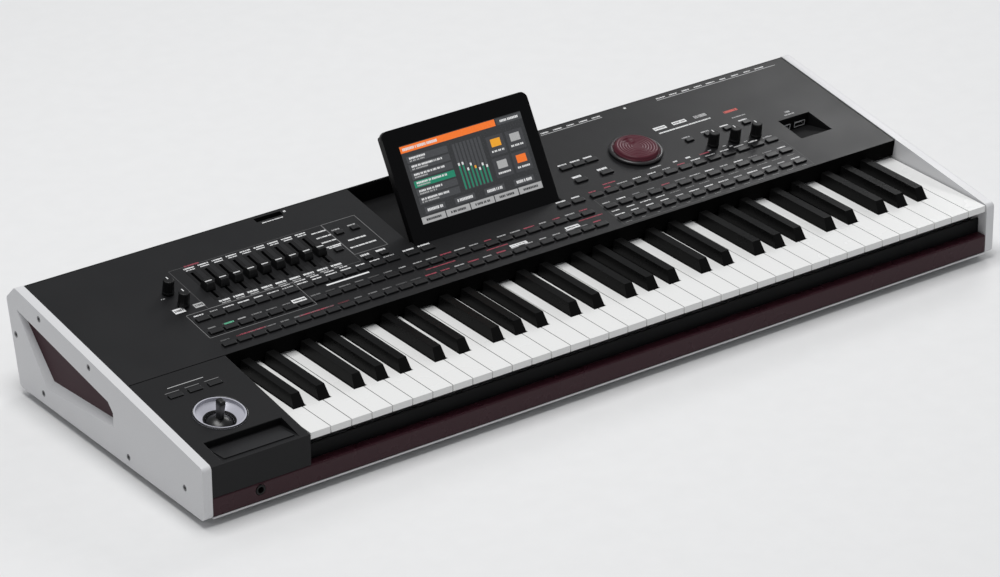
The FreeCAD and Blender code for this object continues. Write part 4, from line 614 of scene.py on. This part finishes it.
# %% Knob caps
KNOB_PROFILE = [
    (3.0, -9.0), (3.0, 0.9), (6.1, 0.9), (6.25, 1.4), (6.2, 3.0), (5.85, 3.4), (5.7, 9.0),
    (5.55, 15.2), (5.2, 16.0), (4.6, 16.25), (0.3, 16.25),
]
POINTER_SHIFT, POINTER = 3.2, [(15.6, 0.6, 2.0, 0.1), (16.28, 0.6, 2.0, 0.1)]
FLANK_SHIFT, FLANK_LINE = 5.6, [(4.5, 0.55, 0.3, 0.1), (15.7, 0.55, 0.22, 0.1)]
for name, (x, v) in KNOB_PLACES.items():
    knob = turned(on_panel, x, v, KNOB_PROFILE, sides=72, flute=0.018, flutes=18)
    pointer = stacked(on_panel, x, v + POINTER_SHIFT, POINTER, steps=2)
    side = stacked(on_panel, x, v + FLANK_SHIFT, FLANK_LINE, steps=2)
    item = put(f"{name}_knob_cap", *joined([knob, pointer, side]), f"{name}_knob", "knob_black",
               DARK_PLASTIC, smooth=False)
    two_finishes(item, LINE_WHITE, len(knob[1]))
    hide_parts(f"{name}_knob")
print("knobs", len(KNOB_PLACES))

# %% [markdown]
# ## Dial
# The dial is a wide wheel: a black skirt, a dark red top with turned rings and a dimple for
# one finger. The rings are a small cosine of the radius added to the height.

# %% Dial
DIAL_X, DIAL_V, DIAL_RADIUS, DIAL_HIGH, DIAL_SIDES = 582.7, 262.1, 29.0, 7.8, 96
SKIRT_PROFILE = [
    (3.0, -9.0), (3.0, 0.9), (DIAL_RADIUS - 0.4, 0.9), (DIAL_RADIUS, 1.4),
    (DIAL_RADIUS - 0.1, 2.8), (DIAL_RADIUS - 0.8, 3.6), (DIAL_RADIUS - 2.4, 4.1),
    (DIAL_RADIUS - 3.0, 3.9),
]
# the flat of the top lies 0.2 mm under DIAL_HIGH, which leaves room for the rings
TOP_EDGE, TOP_LOW, TOP_GAP, TOP_HUB = 2.8, 3.9, 4.1, 0.4
SHOULDER_START, SHOULDER_WIDE = 5.0, 2.4
RING_HIGH, RING_PITCH, RING_HUB = 0.16, 3.0, 5.0
DIMPLE_X, DIMPLE_V, DIMPLE_RADIUS, DIMPLE_DEPTH = -2.0, 11.3, 6.9, 2.2


def dial_top(rings=60):
    """Polar grid: a disc with a round shoulder, plus rings as a cosine of the radius,
    less a dimple that falls with the square of the distance from its middle."""
    radius = np.linspace(DIAL_RADIUS - TOP_EDGE, TOP_HUB, rings)[:, None]
    angle = np.linspace(0, 2 * np.pi, DIAL_SIDES, endpoint=False)[None, :]
    across, back = radius * np.cos(angle), radius * np.sin(angle)
    step = np.clip((DIAL_RADIUS - SHOULDER_START - radius) / SHOULDER_WIDE, 0, 1)
    height = TOP_LOW + (DIAL_HIGH - TOP_GAP) * np.sqrt(1 - (1 - step) ** 2)
    wave = RING_HIGH * np.cos(2 * np.pi * radius / RING_PITCH)
    height = height + wave * (radius > RING_HUB) * (step >= 1)
    off = np.hypot(across - DIMPLE_X, back - DIMPLE_V)
    height = height - DIMPLE_DEPTH * np.clip(1 - (off / DIMPLE_RADIUS) ** 2, 0, 1)
    points = on_panel(DIAL_X + across, DIAL_V + back, height)
    faces = grid_faces(rings, DIAL_SIDES)
    faces.append(list(range((rings - 1) * DIAL_SIDES, rings * DIAL_SIDES)))
    return points.reshape(-1, 3), faces


skirt = turned(on_panel, DIAL_X, DIAL_V, SKIRT_PROFILE, sides=DIAL_SIDES)
cap = dial_top()
wheel = put("data_dial_wheel", *joined([skirt, cap]), "data_dial", "dial_brown", DIAL_RIM)
two_finishes(wheel, DIAL_RED, len(skirt[1]))
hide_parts("data_dial")
print("dial faces", len(wheel.data.polygons))

# %% [markdown]
# ## Joystick
# A silver dish with a thin black collar holds a satin ball and a flat lever. A black ring
# lies on the dish round the ball and widens the dark area there. The ball and the lever tip
# as one about the gimbal under the panel, so they are one piece on that body.

# %% Collar, ball and lever
STICK_X, STICK_V = -56.3, 70.7
COLLAR_PROFILE = [(27.0, 0.05), (27.0, 0.85), (26.6, 1.2), (25.6, 1.2), (25.3, 0.85)]
RING_PROFILE = [(16.3, -8.05), (16.2, -7.85), (14.05, -9.30), (14.05, -9.55)]
BALL_RADIUS, BALL_SINK, BALL_LOW, BALL_TOP, BALL_ROWS = 20.7, 25.7, 31, 89, 22
LEVER_LEVELS = [
    (-8.0, 3.0, 4.2, 1.4), (-4.0, 2.7, 3.8, 1.2), (2.0, 2.8, 4.0, 1.2), (10.0, 3.2, 4.5, 1.3),
    (13.6, 3.2, 4.5, 1.3), (14.6, 2.8, 4.1, 1.0), (15.0, 2.2, 3.4, 0.8),
]
collar = turned(on_panel, STICK_X, STICK_V, COLLAR_PROFILE, sides=96, ends=False)
put("joystick_collar", *collar, "case", "bowl_silver", GLOSS_BLACK)
# a black ring on the dish that widens the dark area round the ball
ring = turned(on_panel, STICK_X, STICK_V, RING_PROFILE, sides=96, ends=False)
put("joystick_dark_ring", *ring, "case", "block_black", WELL_PLASTIC)
latitude = np.radians(np.linspace(BALL_LOW, BALL_TOP, BALL_ROWS))
ball_height = BALL_RADIUS * np.sin(latitude) - BALL_SINK
ball_profile = np.stack([BALL_RADIUS * np.cos(latitude), ball_height], -1)
ball = turned(on_panel, STICK_X, STICK_V, ball_profile, sides=64)
lever = stacked(on_panel, STICK_X, STICK_V, LEVER_LEVELS, steps=6)
stick = put("joystick_ball_and_lever", *joined([ball, lever]), "stick", "stick_black", BALL_BLACK)
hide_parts("joystick_stick")
print("joystick faces", len(stick.data.polygons))

# %% [markdown]
# ## Sockets and screws
# The sides and the rear need frames too. Each is ordered so that its third axis points out of
# the case, which keeps the faces of turned shapes looking outwards.

# %% Frames of the sides, the rear and the ports
HALF_WIDTH, FOOT = 488.8, 8.0
REAR_Y, REAR_OVERHANG, REAR_HIGH = 160.3, 18.2, 91.6
REAR_LEAN = math.atan(REAR_OVERHANG / REAR_HIGH)
SOCKET_HIGH, PORT_WALL = 32.0, 240.0


def on_left(across, up, out):
    """Point of the left side: across is minus the depth from the front."""
    across, up, out = same_shape(across, up, out)
    return np.stack([-HALF_WIDTH - out, -across - CASE_DEPTH / 2, FOOT + up], -1) / MM_PER_METRE


def on_right(across, up, out):
    """Point of the right side: across is the depth from the front."""
    across, up, out = same_shape(across, up, out)
    return np.stack([HALF_WIDTH + out, across - CASE_DEPTH / 2, FOOT + up], -1) / MM_PER_METRE


def on_rear(across, up, out):
    """Point of the leaning rear wall: across runs to the left as the player sees it."""
    across, up, out = same_shape(across, up, out)
    y = REAR_Y + out * math.cos(REAR_LEAN) + up * math.sin(REAR_LEAN)
    z = FOOT - out * math.sin(REAR_LEAN) + up * math.cos(REAR_LEAN)
    return np.stack([-across, y, z], -1) / MM_PER_METRE


def on_port(x, n, out):
    """Point of the wall with the two ports at the back of the recess, out towards the player."""
    return on_panel(x, PORT_WALL - np.asarray(out, float), n)


print("rear wall at socket height", on_rear(0.0, SOCKET_HIGH, 0.0))

# %% [markdown]
# Screws get a black hexagon in the head, painted shade for the depth of the hex socket.
# Round sockets get a metal bush and a nut, the five-pole sockets a metal shell with pins,
# the mains inlet three blades, and each port in the recess a pale shell with painted sheen
# and a tongue inside.

# %% Hexagons of painted shade in the screws
SCREWS = (
    # depth from the front, height
    (296.0, 92.0), (203.0, 77.8), (344.0, 56.0), (295.0, 11.0), (135.0, 10.0), (33.0, 22.0),
)
HEXAGON = [(1.7, -0.30), (1.6, -0.27), (0.1, -0.28)]
# painted shade: a shallow black hexagon that stands for the deep socket of each screw
socket_shades = [turned(place, sign * depth, height, HEXAGON, sides=6)
         for place, sign in ((on_left, -1), (on_right, 1)) for depth, height in SCREWS]
put("screw_socket_painted_shade", *joined(socket_shades), "case", "screw_steel", WELL_PLASTIC, smooth=False)
print("screw hexagons", len(socket_shades))

# %% Bushes and nuts of the round sockets
BUSH = [(4.9, 0.1), (4.9, 1.1), (4.6, 1.4), (3.7, 1.4), (3.3, 1.1), (3.25, -6.0)]
NUT = [(7.2, 0.05), (7.2, 0.7), (6.8, 0.9), (4.95, 0.9)]
JACKS = [330.0 - 28.0 * index for index in range(6)]
bushes = [turned(on_rear, across, SOCKET_HIGH, BUSH, sides=32, ends=False) for across in JACKS]
nuts = [turned(on_rear, across, SOCKET_HIGH, NUT, sides=6, ends=False) for across in JACKS]
put("rear_jack_bushes", *joined(bushes + nuts), "case", "socket_black", STEEL, smooth=False)
print("bushes", len(bushes))

# %% Contacts of the five-pole sockets and the mains inlet
SHELL = [(8.9, 0.1), (8.9, 1.2), (8.2, 1.2), (7.7, 0.9), (7.62, -7.5)]
FIVE_POLES = [120.0 - 30.0 * index for index in range(3)]
PIN, PIN_CIRCLE, PIN_TURNS = [(0.75, -7.95), (0.75, -3.5), (0.3, -3.0)], 4.8, (0, 45, 90, 135, 180)
INLET = -330.0
BLADE = [(-14.9, 1.0, 2.0, 0.2), (-3.4, 1.0, 2.0, 0.2), (-3.0, 0.7, 1.7, 0.2)]
BLADE_PLACES = ((-7.0, -2.0), (7.0, -2.0), (0.0, 3.0))
shells = [turned(on_rear, across, SOCKET_HIGH, SHELL, ends=False) for across in FIVE_POLES]
pins = [turned(on_rear, across + PIN_CIRCLE * math.cos(turn),
               SOCKET_HIGH - PIN_CIRCLE * math.sin(turn), PIN, sides=12)
        for across in FIVE_POLES for turn in np.radians(PIN_TURNS)]
blades = [stacked(on_rear, INLET + across, SOCKET_HIGH + up, BLADE, steps=2)
          for across, up in BLADE_PLACES]
put("rear_socket_contacts", *joined(shells + pins + blades), "case", "socket_black", STEEL,
    smooth=False)
print("pins and blades", len(pins) + len(blades))

# %% Shells and tongues of the ports
PORTS, PORT_N, TONGUE_N = (769.0, 789.0), -11.5, -10.6
RIM = [
    (0.05, 7.2, 3.25, 0.7), (0.35, 7.2, 3.25, 0.7), (0.35, 6.6, 2.65, 0.5), (-8.0, 6.6, 2.65, 0.5),
]
TONGUE = [(-13.2, 5.4, 0.8, 0.2), (-1.6, 5.4, 0.8, 0.2), (-1.2, 5.1, 0.6, 0.2)]
rims = [stacked(on_port, x, PORT_N, RIM, ends=False) for x in PORTS]
# the shells are pale with painted sheen, not metal
put("port_shells", *joined(rims), "case", "socket_black", SHELL_PAINTED_SHEEN, smooth=False)
tongues = [stacked(on_port, x, TONGUE_N, TONGUE, steps=2) for x in PORTS]
put("port_tongues", *joined(tongues), "case", "socket_black", LINE_WHITE, smooth=False)
print(len(pieces), "pieces so far")

# %% [markdown]
# ## The picture on the screen
# The touch screen is lit from behind. Its picture is a plain made-up page: a title bar, a
# list with one row chosen, a row of level bars, four tiles, a row of buttons and a strip of
# tabs. It is drawn in three layers of flat patches just over the glass and glows a little.

# %% Boxes and writing of the page
SCREEN_LEFT, SCREEN_LOW, SCREEN_RIGHT, SCREEN_TOP = -74.3, 16.4, 77.2, 98.9
SCREEN_WIDE, SCREEN_HIGH = SCREEN_RIGHT - SCREEN_LEFT, SCREEN_TOP - SCREEN_LOW
PAGE_LEVEL, PAGE_STEP, PAGE_PITCH = 2.04, 0.04, 0.0125
BACK_GREY, ROW_GREY = (0.035, 0.036, 0.038), (0.060, 0.062, 0.066)
TILE_GREY, TAB_GREY = (0.050, 0.051, 0.055), (0.36, 0.36, 0.36)
ORANGE, AMBER = (0.80, 0.17, 0.03), (0.75, 0.33, 0.03)
GREEN, PAGE_WHITE = (0.02, 0.20, 0.12), (0.62, 0.62, 0.62)
layers = [[], [], []]


def page_box(layer, x0, y0, x1, y1, color):
    """A box of the page in shares of the screen, from its lower left corner."""
    layers[layer].append((SCREEN_LEFT + x0 * SCREEN_WIDE, SCREEN_LOW + y0 * SCREEN_HIGH,
                          SCREEN_LEFT + x1 * SCREEN_WIDE, SCREEN_LOW + y1 * SCREEN_HIGH, color))


def page_text(x0, y, x1, high, color):
    """A line of writing shown as letter-wide bars."""
    for low, top in letters(x0, x1, PAGE_PITCH):
        page_box(2, low, y - high / 2, top, y + high / 2, color)


# %% Title bar and list
ROW_PITCH, CHOSEN_ROW = 0.105, 3
page_box(0, 0.0, 0.0, 1.0, 1.0, BACK_GREY)
page_box(1, 0.0, 0.905, 0.78, 0.99, ORANGE)
page_box(1, 0.79, 0.905, 1.0, 0.99, ROW_GREY)
page_text(0.02, 0.947, 0.30, 0.034, PAGE_WHITE)
page_text(0.82, 0.947, 0.97, 0.030, PAGE_WHITE)
for row in range(6):
    down = ROW_PITCH * row
    page_box(1, 0.03, 0.765 - down, 0.36, 0.85 - down, GREEN if row == CHOSEN_ROW else ROW_GREY)
    page_text(0.05, 0.822 - down, rng.uniform(0.17, 0.30), 0.026, PAGE_WHITE)
    page_text(0.05, 0.788 - down, rng.uniform(0.14, 0.22), 0.018, TAB_GREY)
print([len(boxes) for boxes in layers], "patches with the list")

# %% Level bars and tiles
BAR_PITCH, AMBER_BAR = 0.03, 4
TILE_COLORS = ((AMBER, TAB_GREY), (TAB_GREY, ORANGE))
for index in range(8):
    x, fill = 0.40 + BAR_PITCH * index, rng.uniform(0.35, 0.75)
    page_box(1, x, 0.25, x + 0.02, 0.84, ROW_GREY)
    page_box(2, x + 0.004, 0.26, x + 0.016, fill, GREEN)
    cap_color = AMBER if index == AMBER_BAR else PAGE_WHITE
    page_box(2, x + 0.003, fill, x + 0.017, fill + 0.035, cap_color)
for row, colors in enumerate(TILE_COLORS):
    for column, color in enumerate(colors):
        x, y = 0.67 + 0.16 * column, 0.55 - 0.28 * row
        page_box(1, x, y, x + 0.14, y + 0.25, TILE_GREY)
        page_box(2, x + 0.03, y + 0.11, x + 0.11, y + 0.21, color)
        page_text(x + 0.02, y + 0.055, x + 0.12, 0.024, PAGE_WHITE)
print([len(boxes) for boxes in layers], "patches with the tiles")

# %% Tabs, buttons of the page and its print
TAB_PITCH, PAGE_BUTTON_PITCH = 0.2, 0.245
for index in range(5):
    x = TAB_PITCH * index
    page_box(1, 0.004 + x, 0.0, 0.196 + x, 0.085, TAB_GREY)
    page_text(0.04 + x, 0.043, 0.16 + x, 0.028, BACK_GREY)
for column in range(4):
    x = PAGE_BUTTON_PITCH * column
    page_box(1, 0.05 + x, 0.115, 0.215 + x, 0.195, ROW_GREY)
    page_text(0.07 + x, 0.155, 0.195 + x, 0.036, PAGE_WHITE)
for depth, boxes in enumerate(layers):
    print_marks(f"screen_page_{depth + 1}", on_display, boxes, PAGE_LEVEL + PAGE_STEP * depth,
                "display", "screen_glass", SCREEN_INK)
print([len(boxes) for boxes in layers], "patches on the screen")

# %% [markdown]
# ## Floor, light and camera
# A pale floor under soft light from above, as in a product picture. The camera stands far
# off with a long lens, so the keyboard keeps almost parallel edges.

# %% Stage
FLOOR_HALF = 6.0
FLOOR_FINISH = make_finish("pale_floor", (0.80, 0.80, 0.80), 0.85, speck=0.01, grain=40.0, bump=0.0)


def make_floor():
    """A flat square in the plane of the feet."""
    corners = FLOOR_HALF * np.array([[-1, -1, 0], [1, -1, 0], [1, 1, 0], [-1, 1, 0]])
    mesh = bpy.data.meshes.new("floor")
    mesh.from_pydata(corners.tolist(), [], [[0, 1, 2, 3]])
    item = bpy.data.objects.new("floor", mesh)
    bpy.context.scene.collection.objects.link(item)
    item.data.materials.append(FLOOR_FINISH)


def make_light(name, place, target, width, height, power):
    """A soft rectangular lamp that faces its target."""
    lamp = bpy.data.lights.new(name, "AREA")
    lamp.shape = "RECTANGLE"
    lamp.size, lamp.size_y, lamp.energy = width, height, power
    item = bpy.data.objects.new(name, lamp)
    bpy.context.scene.collection.objects.link(item)
    item.location = place
    item.rotation_euler = (Vector(target) - Vector(place)).to_track_quat("-Z", "Y").to_euler()


make_floor()
make_light("key_light", (-0.4, 0.1, 3.3), (0.0, 0.0, 0.05), width=2.0, height=1.6, power=80.0)
make_light("rear_light", (2.9, 1.7, 2.0), (0.3, 0.0, 0.05), width=1.1, height=0.9, power=24.0)
world = bpy.data.worlds.new("soft_room")
bpy.context.scene.world = world
world.use_nodes = True
room = world.node_tree.nodes["Background"]
room.inputs["Color"].default_value = (0.95, 0.97, 1.0, 1.0)
room.inputs["Strength"].default_value = 0.32
print("lamps", len(bpy.data.lights))

# %% Camera
EYE = Vector((-2.25624, -3.12099, 1.93842))
FORWARD = Vector((0.52225686, 0.72881065, -0.44281239)).normalized()
ROLL = math.radians(-0.3674)
LENS_LENGTH, SENSOR_WIDTH = 151.6, 36.0
level = FORWARD.cross(Vector((0, 0, 1))).normalized()
upright = level.cross(FORWARD)
right = math.cos(ROLL) * level + math.sin(ROLL) * upright
up = right.cross(FORWARD)
lens = bpy.data.cameras.new("photo_camera")
lens.lens, lens.sensor_width = LENS_LENGTH, SENSOR_WIDTH
camera = bpy.data.objects.new("photo_camera", lens)
bpy.context.scene.collection.objects.link(camera)
camera.matrix_world = Matrix((right, up, -FORWARD)).transposed().to_4x4()
camera.location = EYE
bpy.context.scene.camera = camera
bpy.context.scene.view_settings.view_transform = "Standard"
print("camera at", tuple(EYE))
